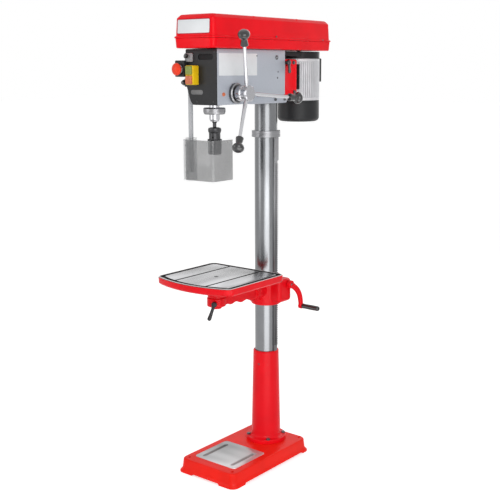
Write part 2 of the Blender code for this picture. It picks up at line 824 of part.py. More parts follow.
def make_crank():
    arm_end = Vector((0.021 - 0.003, CRANK_THROW * math.sin(CRANK_LEAN), -CRANK_THROW * math.cos(CRANK_LEAN)))
    shaft_in = CRANK_FACE - PINION_X + 0.014
    crank = cylinder("crank_arm", CRANK_SHAFT_R, shaft_in + 0.006, "red_paint")
    place(crank, "crank", None, ALONG_X)
    crank.location = ((0.006 - shaft_in) / 2, 0, 0)
    hub = cylinder("crank_hub", 0.0165, 0.016)
    place(hub, "crank", None, ALONG_X)
    hub.location = (0.0085, 0, 0)
    points = []
    for step in range(9):
        share = step / 8
        swell = math.sin(math.pi * share)
        points.append(
            (
                0.010 + (arm_end.x - 0.010) * share + 0.004 * swell,
                arm_end.y * share + 0.013 * swell,
                arm_end.z * share + 0.010 * swell,
            )
        )
    radii = [1.25 - 0.35 * step / 8 for step in range(9)]
    arm = place(rod("crank_bar", points, 0.0078, radii=radii), "crank")
    eye = cylinder("crank_eye", 0.0105, 0.014)
    place(eye, "crank", None, ALONG_X)
    eye.location = arm_end
    pin = cylinder("crank_pin", 0.0040, 0.080)
    place(pin, "crank", None, ALONG_X)
    pin.location = (arm_end.x + 0.040, arm_end.y, arm_end.z)
    join(crank, hub, arm, eye, pin)


def make_crank_grip():
    high = 0.0050 + GRIP_LENGTH
    profile = [
        (0.0043, high),
        (GRIP_R - 0.002, high),
        (GRIP_R, high - 0.003),
        (GRIP_R, 0.012),
        (GRIP_R - 0.002, 0.0050),
        (0.0043, 0.0050),
    ]
    grip = turned("crank_grip", profile, "black_plastic", closed=True)
    place(grip, "crank_grip", None, ALONG_X)


def make_lift_pinion():
    root = RACK_MODULE * (PINION_TEETH / 2 - 1.2)
    outline = gear_outline(
        RACK_MODULE, PINION_TEETH, root, 0.85 * RACK_MODULE, TOOTH_SHARE, math.pi
    )
    pinion = flat("lift_pinion", outline, RACK_WIDTH - 0.002, "dark_steel", smooth=False)
    place(pinion, "lift_pinion", None, ALONG_Y)
    shaft = cylinder("lift_pinion_shaft", 0.006, 0.064)
    place(shaft, "lift_pinion", None, ALONG_Y)
    shaft.location = (0, 0.006, 0)
    wheel = cylinder("lift_worm_wheel", 0.0135, 0.014)
    place(wheel, "lift_pinion", None, ALONG_Y)
    wheel.location = (0, CRANK_Y, 0)
    join(pinion, shaft, wheel)


# ---------------------------------------------------------------- head


def make_head():
    """The head casting, with the bores for the quill, the feed shaft and the column."""
    width = 2 * HEAD_HALF - PANEL_T - TOUCH
    x_middle = -(PANEL_T + TOUCH) / 2
    front = COVER_BACK + TOUCH
    step = -0.180
    outline = [
        (front, HEAD_LOW),
        (step, HEAD_LOW),
        (step + 0.020, HEAD_REAR_LOW - 0.004),
        (HEAD_REAR, HEAD_REAR_LOW - 0.004),
        (HEAD_REAR, HEAD_TOP),
        (front, HEAD_TOP),
    ]
    head = flat("head_casting", outline, width, "silver_paint")
    place(head, "stand", (x_middle, 0, 0), ALONG_X_UP)
    clamp = box("head_clamp", (2 * CLAMP_HALF, CLAMP_REAR + 0.163, 0.050), bevel=0.006)
    place(clamp, "stand", (0, (CLAMP_REAR - 0.163) / 2, 1.478 + 0.025))
    tail = box("head_tail", (2 * TAIL_HALF, TAIL_REAR, TAIL_TOP - TAIL_LOW), bevel=0.004)
    place(tail, "stand", (0, TAIL_REAR / 2, (TAIL_TOP + TAIL_LOW) / 2))
    join(head, clamp, tail)
    column = hole_for("head_column_bore", COLUMN_R, 0.30)
    place(column, "stand", (0, 0, COLUMN_TOP + TOUCH - 0.15))
    quill = hole_for("head_quill_bore", QUILL_R, 0.30)
    place(quill, "stand", (0, SPINDLE_Y, HEAD_TOP - 0.10))
    seat = cylinder("head_pulley_seat", 0.0250, 0.050)
    place(seat, "stand", (0, SPINDLE_Y, HEAD_TOP))
    clear_r = FEED_PITCH_R + 0.95 * FEED_MODULE + 0.0006
    feed = cylinder("head_feed_bore", clear_r, HEAD_HALF + 0.009 + 0.02)
    place(feed, "stand", ((HEAD_HALF + 0.02 - 0.009) / 2, FEED_Y, FEED_Z), ALONG_X)
    shaft = hole_for("head_shaft_bore", FEED_SHAFT_R, 0.20)
    place(shaft, "stand", (-0.05, FEED_Y, FEED_Z), ALONG_X)
    hollow = box("head_hollow", (0.132, 0.176, 0.180), bevel=0.006)
    place(hollow, "stand", (0, -0.156, 1.530 + 0.090))
    well = box("head_well", (0.104, 0.080, 0.080))
    place(well, "stand", (0, -0.110, 1.494 + 0.040))
    for side in (-1, 1):
        pocket = box(f"head_pocket_{side}", (0.036, 0.088, 0.180))
        cut(head, place(pocket, "stand", (side * 0.048, -0.297, 1.546 + 0.090)))
    tail_well = box("head_tail_well", (0.084, 0.044, 0.180))
    cut(head, place(tail_well, "stand", (0, 0.080, 1.524 + 0.090)), well)
    idler = hole_for("head_idler_bore", 0.0085, 0.080)
    lever = hole_for("head_lever_bore", 0.006, 0.040)
    place(lever, "stand", (TAIL_HALF, 0.036 + 0.0, 1.636), ALONG_X)
    cut(head, column, quill, seat, feed, shaft, hollow, lever)
    cut(head, place(idler, "stand", (0, IDLER_Y, IDLER_SHAFT_LOW - 0.001 + 0.040)))
    for side in (-1, 1):
        rail = hole_for(f"head_rail_bore_{side}", 0.0075, 0.120)
        place(rail, "stand", (side * 0.058, TAIL_REAR, 1.580), ALONG_Y)
        cut(head, rail)


def make_side_panel():
    """The sheet panel on the operator's right, cut out round the feed shaft."""
    low = HEAD_LOW
    outline = [
        (HEAD_FRONT + 0.002, low),
        (-0.180, low),
        (-0.160, HEAD_REAR_LOW),
        (HEAD_REAR, HEAD_REAR_LOW),
        (HEAD_REAR, HEAD_TOP),
        (HEAD_FRONT + 0.002, HEAD_TOP),
    ]
    panel = flat("side_panel", outline, PANEL_T, "silver_paint", smooth=False)
    place(panel, "stand", (HEAD_HALF - PANEL_T / 2, 0, 0), ALONG_X_UP)
    hole = cylinder("panel_hole", 0.020, 0.05)
    cut(panel, place(hole, "stand", (HEAD_HALF, FEED_Y, FEED_Z), ALONG_X))


def make_front_cover():
    """The moulded front cover, with its lower left corner cut away and a window for the depth scale."""
    left, right = -HEAD_HALF, HEAD_HALF - PANEL_T - 2 * TOUCH
    outline = (
        arc((left + 0.006, HEAD_TOP - 0.006), 0.006, 180, 90, 3)
        + [(right, HEAD_TOP), (right, HEAD_LOW - 0.001)]
        + [(left + 0.034, HEAD_LOW - 0.001), (left + 0.022, HEAD_LOW + 0.012), (left + 0.002, 1.552)]
    )
    depth = COVER_BACK - HEAD_FRONT
    cover = flat("front_cover", [(x, -z) for x, z in outline][::-1], depth, "black_plastic")
    place(cover, "stand", (0, (COVER_BACK + HEAD_FRONT) / 2, 0), (-math.pi / 2, 0, 0))
    window = box("cover_window", (0.073, 0.008, 0.021))
    cut(cover, place(window, "stand", (0.0222, HEAD_FRONT, 1.6545)))


def make_controls():
    box_depth = 0.0325
    housing = box("switch_housing", (0.038, box_depth, 0.070), "yellow_plastic", bevel=0.0025)
    place(housing, "stand", (-0.0295, HEAD_FRONT - TOUCH - box_depth / 2, 1.5885))
    estop = box("estop_box", (0.046, 0.052, 0.060), "black_plastic", bevel=0.003)
    place(estop, "stand", (-0.0905, -0.405 + 0.026, 1.612))
    clear = box("estop_clear", (0.040, 0.060, 0.200))
    place(clear, "stand", (0.020 - HEAD_HALF - TOUCH, HEAD_FRONT - TOUCH + 0.030, 1.612))
    cut(estop, clear)
    for name, finish in (("start_button", "green_plastic"), ("stop_button", "red_plastic")):
        height = 0.030
        key = box(name, (0.029, 0.012, height), finish, bevel=0.0015)
        place(key, name, (-0.0295, -0.4185, BODIES[name][0][2]))
        pocket = box(f"{name}_pocket", (0.029 + 2 * KEY, 0.024, height + 2 * KEY))
        cut(housing, place(pocket, "stand", (-0.0295, -0.4185, BODIES[name][0][2])))
    button = turned(
        "estop_button",
        [(0, 0.026)]
        + [(x, z) for x, z in arc((0, -0.0085), 0.0345, 84, 50, 4)]
        + [(0.0225, 0.013), (0.0205, 0.010), (0.0125, 0.010), (0.0085, 0.0095), (0.0085, -0.012), (0, -0.012)],
        "red_plastic",
    )
    place(button, "estop_button", (-0.0905, -0.405, 1.610), ALONG_Y)
    bore = hole_for("estop_bore", 0.0085, 0.050)
    cut(estop, place(bore, "stand", (-0.0905, -0.405, 1.610), ALONG_Y))


# ---------------------------------------------------------------- quill and chuck


def make_quill():
    seat = BEARING_T + 0.003
    seat_r = bore_r(BEARING_R, TOUCH, sides_for(QUILL_R))
    profile = [
        (QUILL_R, QUILL_TOP),
        (QUILL_R, QUILL_LOW + 0.008),
        (QUILL_R - 0.004, QUILL_LOW),
        (BEARING_R - 0.002, QUILL_LOW),
        (BEARING_R - 0.002, QUILL_LOW + 0.0015),
        (seat_r, QUILL_LOW + 0.0015),
        (seat_r, QUILL_LOW + seat),
        (QUILL_BORE, QUILL_LOW + seat),
        (QUILL_BORE, QUILL_TOP),
    ]
    quill = turned("quill", profile, "bright_steel", closed=True)
    place(quill, "quill", (0, SPINDLE_Y, 0))
    pitch = math.pi * FEED_MODULE
    lean = math.tan(math.radians(20))
    half = (1 - TOOTH_SHARE) * pitch / 2
    deep, out = 1.2 * FEED_MODULE, 0.006
    for count in range(-2, 16):
        middle = FEED_Z + count * pitch
        outline = [
            (FEED_LINE - deep, middle - half + deep * lean),
            (FEED_LINE + out, middle - half - out * lean),
            (FEED_LINE + out, middle + half + out * lean),
            (FEED_LINE - deep, middle + half - deep * lean),
        ]
        space = flat(f"quill_space_{count}", outline, 0.017, smooth=False)
        place(space, "quill", (0, SPINDLE_Y, 0), ALONG_X_UP)
        cut(quill, space)
    profile = tube_profile(
        QUILL_COLLAR_R,
        bore_r(QUILL_R, TOUCH, sides_for(QUILL_COLLAR_R)),
        QUILL_COLLAR_LOW + QUILL_COLLAR_T,
        QUILL_COLLAR_LOW,
        0.003,
    )
    collar = turned("quill_collar", profile, "cast_alloy", closed=True)
    place(collar, "quill", (0, SPINDLE_Y, 0))
    low = QUILL_LOW + 0.0018
    inner = bore_r(SPINDLE_R, TOUCH, sides_for(BEARING_R))
    profile = tube_profile(BEARING_R, inner, low + BEARING_T, low, 0.0006)
    bearing = turned("quill_bearing", profile, "bright_steel", closed=True)
    place(bearing, "quill", (0, SPINDLE_Y, 0))


def make_spindle():
    profile = [
        (0, SPINDLE_TOP),
        (SPINDLE_R - 0.001, SPINDLE_TOP),
        (SPINDLE_R, SPINDLE_TOP - 0.001),
        (SPINDLE_R, QUILL_LOW - 0.003),
        (NECK_R, QUILL_LOW - 0.006),
        (NECK_R - 0.0006, NECK_LOW),
        (0, NECK_LOW),
    ]
    spindle = turned("spindle", profile, "dark_steel")
    place(spindle, "spindle", (0, SPINDLE_Y, 0))


def make_chuck():
    cavity_top = CHUCK_SPLIT - 0.0015
    body_profile = [
        (0.0150, CHUCK_TOP),
        (0.0240, CHUCK_TOP - 0.003),
        (0.0255, CHUCK_TOP - 0.009),
        (0.0245, CHUCK_TOP - 0.017),
        (0.0218, CHUCK_TOP - 0.022),
        (0.0218, CHUCK_SPLIT + TOUCH),
        (CORE_R, CHUCK_SPLIT + TOUCH),
        (CORE_R, CHUCK_LOW + 0.0045),
        (CORE_R - 0.0013, CHUCK_LOW + 0.0045),
        (CORE_R - 0.0013, cavity_top),
        (0, cavity_top),
    ]
    body = turned("chuck_body", [(0, CHUCK_TOP)] + body_profile, "dark_steel")
    place(body, "spindle", (0, SPINDLE_Y, 0))
    bore = hole_for("chuck_arbor_bore", NECK_R, 0.060, TOUCH)
    cut(body, place(bore, "spindle", (0, SPINDLE_Y, NECK_LOW - TOUCH + 0.030)))
    high = CHUCK_SPLIT - TOUCH
    inner = bore_r(CORE_R, TOUCH, sides_for(SLEEVE_R))
    profile = [
        (SLEEVE_R + 0.0012, high),
        (SLEEVE_R + 0.0018, high - 0.002),
        (SLEEVE_R + 0.0018, high - 0.008),
        (SLEEVE_R, high - 0.010),
        (SLEEVE_R, CHUCK_LOW + 0.028),
        (SLEEVE_R - 0.0015, CHUCK_LOW + 0.003),
        (inner, CHUCK_LOW + 0.0015),
        (inner, high),
    ]
    sleeve = turned("chuck_sleeve", profile, "dark_steel", closed=True)
    place(sleeve, "chuck_sleeve", (0, SPINDLE_Y, 0))
    tip = JAW_R * 2 / math.sqrt(3) + 0.0012
    for number in range(3):
        angle = math.radians(30 + 120 * number)
        bm = bmesh.new()
        bmesh.ops.create_cone(
            bm, cap_ends=True, segments=12, radius1=JAW_R * 0.75, radius2=JAW_R, depth=JAW_LENGTH
        )
        bmesh.ops.translate(bm, vec=(0, 0, JAW_LENGTH / 2), verts=bm.verts)
        jaw = from_bmesh(f"chuck_jaw_{number + 1}", bm, "bright_steel")
        at = (tip * math.cos(angle), SPINDLE_Y + tip * math.sin(angle), CHUCK_LOW - 0.001)
        place(jaw, f"chuck_jaw_{number + 1}", at, (0, JAW_LEAN, angle))


# ---------------------------------------------------------------- feed


def make_feed():
    root = FEED_MODULE * (FEED_TEETH / 2 - 1.15)
    outline = gear_outline(FEED_MODULE, FEED_TEETH, root, 0.85 * FEED_MODULE, TOOTH_SHARE, -math.pi / 2)
    shaft = flat("feed_shaft", outline, 0.014, "dark_steel", smooth=False)
    place(shaft, "feed", None, ALONG_X_UP)
    left, right = -HEAD_HALF - 0.020, HUB_FACE - 0.012
    bar = cylinder("feed_bar", FEED_SHAFT_R, right - left)
    place(bar, "feed", None, ALONG_X)
    bar.location = ((right + left) / 2, 0, 0)
    join(shaft, bar)
    ring_profile = [
        (RING_R - 0.0035, 0.0150),
        (RING_R, 0.0115),
        (RING_R, 0.0015),
        (RING_R - 0.0010, 0.0005),
        (0.0205, 0.0005),
        (0.0205, 0.0150),
    ]
    ring = turned("depth_ring", ring_profile, "dark_steel", closed=True)
    place(ring, "depth_ring", None, ALONG_X)
    inner = bore_r(FEED_SHAFT_R, TOUCH, sides_for(HUB_R))
    base = HEAD_HALF + 0.0010
    hub_profile = [
        (0, HUB_FACE),
        (HUB_R - 0.003, HUB_FACE),
        (HUB_R, HUB_FACE - 0.003),
        (HUB_R, HUB_FACE - 0.012),
        (0.0250, HUB_FACE - 0.016),
        (0.0250, SPOKE_X - 0.012),
        (0.0290, SPOKE_X - 0.016),
        (0.0290, base + 0.0175),
        (0.0200, base + 0.0155),
        (0.0200, base),
        (inner, base),
        (inner, HUB_FACE - 0.0117),
        (0, HUB_FACE - 0.0117),
    ]
    hub = turned("feed_hub", hub_profile, "bright_steel")
    place(hub, "feed", (0, FEED_Y, FEED_Z), ALONG_X)
    for number, degrees in enumerate(SPOKE_ANGLES, 1):
        make_spoke(hub, number, math.radians(degrees))


def make_spoke(hub, number, angle):
    """One feed spoke and its knob. The spoke leans away from the head as it leaves the hub."""
    seat, end = 0.0175, SPOKE_REACH - 0.010
    spoke = turned(
        f"feed_spoke_{number}",
        [(0, end), (0.0040, end), (0.0046, end - 0.028), (0.0063, end - 0.030)]
        + [(0.0066, 0.120), (0.0078, 0.050), (0.0060, 0.034), (0.0060, seat), (0, seat)],
        "bright_steel",
    )
    knob_profile = [
        (0, 0.0165),
        (0.0110, 0.0152),
        (0.0195, 0.0090),
        (0.0235, 0.0),
        (0.0195, -0.0090),
        (0.0125, -0.0148),
        (0.0115, -0.0200),
        (0.0155, -0.0425),
        (0.0075, -0.0425),
        (0.0075, -0.0095),
        (0, -0.0095),
    ]
    knob = turned(f"feed_knob_{number}", knob_profile, "black_plastic")
    bore = hole_for(f"hub_bore_{number}", 0.0060, 0.060, TOUCH)
    direction = spoke_direction(angle)
    centre = Vector((SPOKE_X, FEED_Y, FEED_Z))
    set_spoke(spoke, centre, direction)
    set_spoke(knob, centre + direction * SPOKE_REACH, direction)
    set_spoke(bore, centre + direction * (seat - 0.0005 + 0.030), direction)
    cut(hub, bore)


def spoke_direction(angle):
    flat_reach = math.cos(SPOKE_LEAN)
    return Vector((math.sin(SPOKE_LEAN), flat_reach * math.cos(angle), flat_reach * math.sin(angle)))


def set_spoke(obj, at, direction):
    place(obj, "feed", at)
    obj.rotation_euler = direction.to_track_quat("Z", "Y").to_euler()


def make_return_spring():
    """The flat coil spring that lifts the quill, and the cap over it."""
    cap_profile = [
        (0, 0.026),
        (0.0285, 0.026),
        (0.0310, 0.0235),
        (0.0310, 0.0),
        (0.0290, 0.0),
        (0.0290, 0.0240),
        (0, 0.0240),
    ]
    cap = turned("spring_cap", cap_profile, "black_plastic")
    place(cap, "stand", (-HEAD_HALF - TOUCH, FEED_Y, FEED_Z), (0, -math.pi / 2, 0))
    turns, steps = 3.5, 44
    inner, outer = 0.0092, 0.0275
    bm = bmesh.new()
    pairs = []
    for step in range(steps + 1):
        share = step / steps
        angle = 2 * math.pi * turns * share
        radius = inner + (outer - inner) * share
        y, z = radius * math.cos(angle), radius * math.sin(angle)
        pairs.append((bm.verts.new((-0.008, y, z)), bm.verts.new((0.008, y, z))))
    for first, second in zip(pairs, pairs[1:]):
        bm.faces.new((first[0], first[1], second[1], second[0]))
    spring = from_bmesh("return_spring", bm, "dark_steel")
    thick = spring.modifiers.new("band", "SOLIDIFY")
    thick.thickness = 0.0008
    thick.offset = 0
    place(spring, "stand", (-HEAD_HALF - 0.0115, FEED_Y, FEED_Z))


# ---------------------------------------------------------------- drive


def cover_outline(shrink):
    return rounded(
        -COVER_HALF + shrink,
        COVER_HALF - shrink,
        COVER_FRONT + shrink,
        COVER_REAR - shrink,
        max(COVER_CORNER - shrink * 0.4, 0.010),
    )


def thicken(obj, thickness):
    shell = obj.modifiers.new("wall", "SOLIDIFY")
    shell.thickness = thickness
    shell.offset = -1
    shell.use_even_offset = True


def make_cover():
    """The two halves of the belt cover: a pan fixed to the head, and a hinged lid."""
    draft = COVER_DRAFT
    pan = loft(
        "cover_pan",
        [
            (cover_outline(draft + 0.003), COVER_LOW),
            (cover_outline(draft), COVER_LOW + 0.004),
            (cover_outline(0), COVER_SEAM - 0.004),
            (cover_outline(0), COVER_SEAM - TOUCH),
        ],
        "red_paint",
        close_high=False,
    )
    thicken(pan, COVER_T)
    place(pan, "stand")
    lid = loft(
        "cover_lid",
        [
            (cover_outline(0), COVER_SEAM + TOUCH),
            (cover_outline(0), COVER_SEAM + 0.004),
            (cover_outline(draft), COVER_TOP - 0.014),
            (cover_outline(draft + 0.012), COVER_TOP - 0.003),
            (cover_outline(draft + 0.030), COVER_TOP),
        ],
        "red_paint",
        close_low=False,
    )
    thicken(lid, COVER_T)
    place(lid, "cover_lid", (0, 0, 0))
    for name, y, radius in (("spindle", SPINDLE_Y, 0.0250), ("idler", IDLER_Y, 0.0120)):
        hole = cylinder(f"pan_hole_{name}", radius, 0.04)
        cut(pan, place(hole, "stand", (0, y, COVER_LOW)))
    slot = flat("pan_motor_slot", rounded(-0.020, 0.020, -0.036, 0.024, 0.0199), 0.04)
    cut(pan, place(slot, "stand", (0, MOTOR_Y, COVER_LOW)))


def make_lid_hinge():
    """Three knuckles along the left side: the middle one and the pin stay with the pan."""
    x = -COVER_HALF - 0.006
    knuckle = 0.0048
    hinge = cylinder("lid_hinge", knuckle, 0.060, "black_paint")
    place(hinge, "stand", (x, -0.055, COVER_SEAM), ALONG_Y)
    pin = cylinder("lid_hinge_pin", 0.0022, 0.170)
    leaf = box("lid_hinge_leaf", (0.0020, 0.060, 0.018))
    place(leaf, "stand", (-COVER_HALF - 0.0022, -0.055, COVER_SEAM - 0.011))
    join(hinge, leaf, place(pin, "stand", (x, -0.055, COVER_SEAM), ALONG_Y))
    lid = bpy.data.objects["cover_lid"]
    for side in (-1, 1):
        y = -0.055 + side * 0.055
        outer = cylinder(f"lid_knuckle_{side}", knuckle, 0.048)
        place(outer, "cover_lid", (x, y, COVER_SEAM), ALONG_Y)
        plate = box(f"lid_leaf_{side}", (0.0085, 0.048, 0.0060))
        place(plate, "cover_lid", (x + 0.0048, y, COVER_SEAM + 0.0045))
        join(lid, outer, plate)
        eye = hole_for(f"lid_eye_{side}", 0.0022, 0.080)
        cut(lid, place(eye, "cover_lid", (x, y + side * 0.010, COVER_SEAM), ALONG_Y))


def pulley(name, body, finish, step_radii, bore, below):
    """A stepped V pulley, biggest step first from the top. below is the hub's length under the steps."""
    high = STEP_H * len(step_radii)
    profile = [(0, high)] if not bore else [(bore, high)]
    for index, radius in enumerate(step_radii):
        top = high - STEP_H * index
        profile += [
            (radius + 0.0015, top),
            (radius - 0.0070, top - 0.0055),
            (radius - 0.0070, top - 0.0120),
            (radius + 0.0015, top - STEP_H + 0.0005),
        ]
    hub = 0.0085 if not bore else bore + 0.005
    profile += [(hub, 0), (hub, -below)]
    profile += [(bore, -below)] if bore else [(0, -below)]
    obj = turned(name, profile, finish, closed=bool(bore), sides=16)
    return place(obj, body)


def make_pulleys():
    descending = STEPS[::-1]
    pulley("spindle_pulley", "spindle_pulley", "cast_alloy", descending, bore_r(SPINDLE_R, RUN, 16), 0.052)
    pulley("idler_pulley", "idler_pulley", "cast_alloy", STEPS, 0, PULLEY_LOW - IDLER_SHAFT_LOW)
    pulley("motor_pulley", "motor_pulley", "cast_alloy", descending, 0, 0.160)


def belt_level(step):
    """The height of a belt in the groove of this step, counted from the top."""
    return PULLEY_LOW + STEP_H * (len(STEPS) - step) - 0.00875


def make_belt(name, y_low, r_low, y_high, r_high, level):
    """A flat-sided belt round two pulleys: two arcs and the straight runs between them."""
    def loop(extra):
        low, high = r_low + extra, r_high + extra
        slant = math.degrees(math.asin((low - high) / (y_high - y_low)))
        return arc((0, y_high), high, slant, 180 - slant, 10) + arc((0, y_low), low, 180 - slant, 360 + slant, 10)

    belt = flat(name, loop(0.0005), BELT_T * 0.6, "belt_rubber")
    place(belt, "stand", (0, 0, level))
    inside = flat(f"{name}_inside", loop(-0.0055), 0.03)
    cut(belt, place(inside, "stand", (0, 0, level)))


def make_belts():
    """Each belt lies in the grooves of two steps at one height."""
    front_step, rear_step = 3, 1
    spindle_r = STEPS[::-1][front_step]
    make_belt("front_belt", SPINDLE_Y, spindle_r, IDLER_Y, STEPS[front_step], belt_level(front_step))
    make_belt("rear_belt", IDLER_Y, STEPS[rear_step], MOTOR_Y, STEPS[::-1][rear_step], belt_level(rear_step))


def make_motor():
    body_profile = [
        (0, MOTOR_HIGH),
        (0.0130, MOTOR_HIGH),
        (MOTOR_R - 0.003, MOTOR_HIGH),
        (MOTOR_R, MOTOR_HIGH - 0.003),
        (MOTOR_R, MOTOR_LOW),
        (0, MOTOR_LOW),
    ]
    body = turned("motor_body", body_profile, "cast_alloy")
    place(body, "motor", (0, MOTOR_Y, 0))
    shaft = hole_for("motor_shaft_bore", 0.0085, 0.30)
    cut(body, place(shaft, "motor", (0, MOTOR_Y, MOTOR_HIGH)))
    shield_low, shield_high = MOTOR_HIGH + TOUCH, HEAD_TOP - 0.002
    shield = cylinder("motor_shield", MOTOR_R, shield_high - shield_low, "black_paint")
    place(shield, "motor", (0, MOTOR_Y, (shield_low + shield_high) / 2))
    tongue_low = COLUMN_TOP + 0.002
    tongue = box("motor_tongue", (0.120, 0.190, shield_high - tongue_low - 0.0004), bevel=0.003)
    place(tongue, "motor", (0, 0.040 + 0.095, (tongue_low + shield_high) / 2))
    join(shield, tongue)
    cut(shield, place(hole_for("shield_bore", 0.0085, 0.10), "motor", (0, MOTOR_Y, shield_high)))
    high = MOTOR_LOW - TOUCH
    fan_profile = [(0, high), (MOTOR_R, high)]
    fan_profile += arc((MOTOR_R - 0.018, FAN_LOW + 0.018), 0.018, 0, -90, 4)
    fan_profile += [(0, FAN_LOW)]
    fan = turned("fan_cover", fan_profile, "black_plastic")
    place(fan, "motor", (0, MOTOR_Y, 0))
    terminal = box("terminal_box", (0.080, 0.024, 0.098), "black_plastic", bevel=0.004)
    place(terminal, "motor", (0, MOTOR_Y + MOTOR_R + TOUCH + 0.012, 1.607))
    rail_z = 1.580
    slide = box("motor_slide", (0.140, 0.007, 0.100), "black_paint")
    place(slide, "motor", (0, MOTOR_Y - MOTOR_R - TOUCH - 0.0035, rail_z))
    for side in (-1, 1):
        rail = cylinder(f"motor_rail_{side}", 0.0075, 0.062)
        place(rail, "motor", (side * 0.058, MOTOR_Y - MOTOR_R - 0.003 - 0.031, rail_z), ALONG_Y)
        join(slide, rail)


def make_tension_lever():
    lever = cylinder("tension_lever", 0.006, 0.030, "black_paint")
    place(lever, "tension_lever", None, ALONG_X)
    lever.location = (0.004, 0, 0)
    hub = cylinder("tension_hub", 0.0105, 0.013)
    place(hub, "tension_lever", None, ALONG_X)
    hub.location = (0.0150, 0, 0)
    arm = place(
        rod("tension_arm", [(0.0150, 0, 0), (0.0165, 0, -0.014), (0.0185, 0, -0.036)], 0.0052, radii=[1, 1, 1.3]),
        "tension_lever",
    )
    join(lever, hub, arm)


# ---------------------------------------------------------------- guard


def make_guard():
    rod_high = 1.625
    rod_low = GUARD_LOW + 0.030
    bar = turned(
        "guard_rod",
        [(0, rod_high), (ROD_R - 0.001, rod_high), (ROD_R, rod_high - 0.001), (ROD_R, rod_low), (0, rod_low)],
        "silver_paint",
    )
    place(bar, "guard_rod", (ROD_X, ROD_Y, 0))
    bracket = box("guard_bracket", (0.034, 0.036, 0.032), "black_paint", bevel=0.003)
    place(bracket, "stand", (-HEAD_HALF - TOUCH - 0.017, ROD_Y, 1.561))
    bore = hole_for("guard_bracket_bore", ROD_R, 0.10)
    screw = hole_for("guard_screw_bore", 0.004, 0.030)
    place(screw, "stand", (ROD_X, ROD_Y - 0.020, 1.561), ALONG_Y)
    cut(bracket, place(bore, "stand", (ROD_X, ROD_Y, 1.561)), screw)
    knob = ball("guard_knob", 0.0112, "black_plastic")
    place(knob, "guard_knob", (ROD_X, ROD_Y - 0.0335, 1.561))
    stud = cylinder("guard_knob_stud", 0.004, 0.018)
    join(knob, place(stud, "guard_knob", (ROD_X, ROD_Y - 0.0185, 1.561), ALONG_Y))
    make_guard_shield()


def make_guard_shield():
    """The clear shield: a socket tube round the rod and a bent sheet round the front and right of the chuck."""
    height = SHEET_TOP - SHEET_LOW
    middle = (SHEET_TOP + SHEET_LOW) / 2
    corner, t = 0.016, GUARD_T
    left = ROD_X + 0.006
    outer = [(left, GUARD_FRONT)] + arc((GUARD_HALF - corner, GUARD_FRONT + corner), corner, -90, 0, 6)
    inner = arc((GUARD_HALF - corner, GUARD_FRONT + corner), corner - t, 0, -90, 6) + [(left + t, GUARD_FRONT + t)]
    outline = outer + [(GUARD_HALF, -0.294), (GUARD_HALF - t, -0.294)] + inner
    outline += [(left + t, ROD_Y - GUARD_TUBE_R + 0.003), (left, ROD_Y - GUARD_TUBE_R + 0.003)]
    guard = flat("chuck_guard", outline, height, "clear_plastic")
    place(guard, "chuck_guard", (0, 0, middle))
    wall, hole = GUARD_TUBE_R - t, bore_r(ROD_R, RUN, sides_for(GUARD_TUBE_R))
    tube_profile_points = [
        (GUARD_TUBE_R, GUARD_TOP),
        (GUARD_TUBE_R, GUARD_LOW),
        (wall, GUARD_LOW),
        (wall, GUARD_TOP - 0.007),
        (hole, GUARD_TOP - 0.007),
        (hole, GUARD_TOP),
    ]
    tube = turned("guard_tube", tube_profile_points, closed=True)
    join(guard, place(tube, "chuck_guard", (ROD_X, ROD_Y, 0)))


def centre_on_floor():
    """Moves the whole press so that its box's bottom centre is the origin."""
    bpy.context.view_layer.update()
    graph = bpy.context.evaluated_depsgraph_get()
    low, high = Vector((9, 9, 9)), Vector((-9, -9, -9))
    for obj in parts.objects:
        if obj.type != "MESH":
            continue
        shown = obj.evaluated_get(graph)
        for corner in shown.bound_box:
            point = shown.matrix_world @ Vector(corner)
            low = Vector(map(min, low, point))
            high = Vector(map(max, high, point))
    EMPTIES["stand"].location = (-(low.x + high.x) / 2, -(low.y + high.y) / 2, 0)


clear_scene()
parts = make_collection("drill_press")
cutters = make_collection("cutters")
for finish_name, (colour, roughness, metallic) in FINISHES.items():
    make_material(finish_name, colour, roughness, metallic)
make_bodies()
make_base()
make_column_support()
make_column()
make_rack()
make_bracket()
make_tilt_bolt()
make_arm()
make_clamp_levers()
make_table()
make_crank()
make_crank_grip()
make_lift_pinion()
make_head()
make_side_panel()
make_front_cover()
make_controls()
make_quill()
make_spindle()
make_chuck()
make_feed()
make_return_spring()
make_cover()
make_lid_hinge()
make_pulleys()
make_belts()
make_motor()
make_tension_lever()
make_guard()
centre_on_floor()
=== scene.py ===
"""Looks for a floor-standing drill press with a crank-raised table, a sprung quill and a belt drive under a lid.

Metres, +Z up. The operator stands at -Y and +X is the operator's right hand. Pieces are drawn about the
column's axis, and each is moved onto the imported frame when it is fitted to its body.
"""

import math

import bmesh
import bpy
from bpy.props import FloatProperty, FloatVectorProperty, IntProperty, PointerProperty
from mathutils import Matrix, Vector


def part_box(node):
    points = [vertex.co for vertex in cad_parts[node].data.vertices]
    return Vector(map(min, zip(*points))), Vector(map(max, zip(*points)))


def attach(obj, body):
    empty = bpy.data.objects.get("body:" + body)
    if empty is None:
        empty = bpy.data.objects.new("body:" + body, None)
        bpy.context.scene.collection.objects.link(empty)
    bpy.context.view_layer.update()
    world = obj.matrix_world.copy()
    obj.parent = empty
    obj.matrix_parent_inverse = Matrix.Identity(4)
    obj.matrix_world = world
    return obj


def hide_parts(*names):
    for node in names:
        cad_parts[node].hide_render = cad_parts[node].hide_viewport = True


bl_info = {
    "name": "Drill Press",
    "version": (1, 0, 0),
    "blender": (4, 5, 0),
    "location": "3D View > Sidebar > Drill Press",
    "description": "Builds a drill press piece by piece around its packed frame",
    "category": "Add Mesh",
}

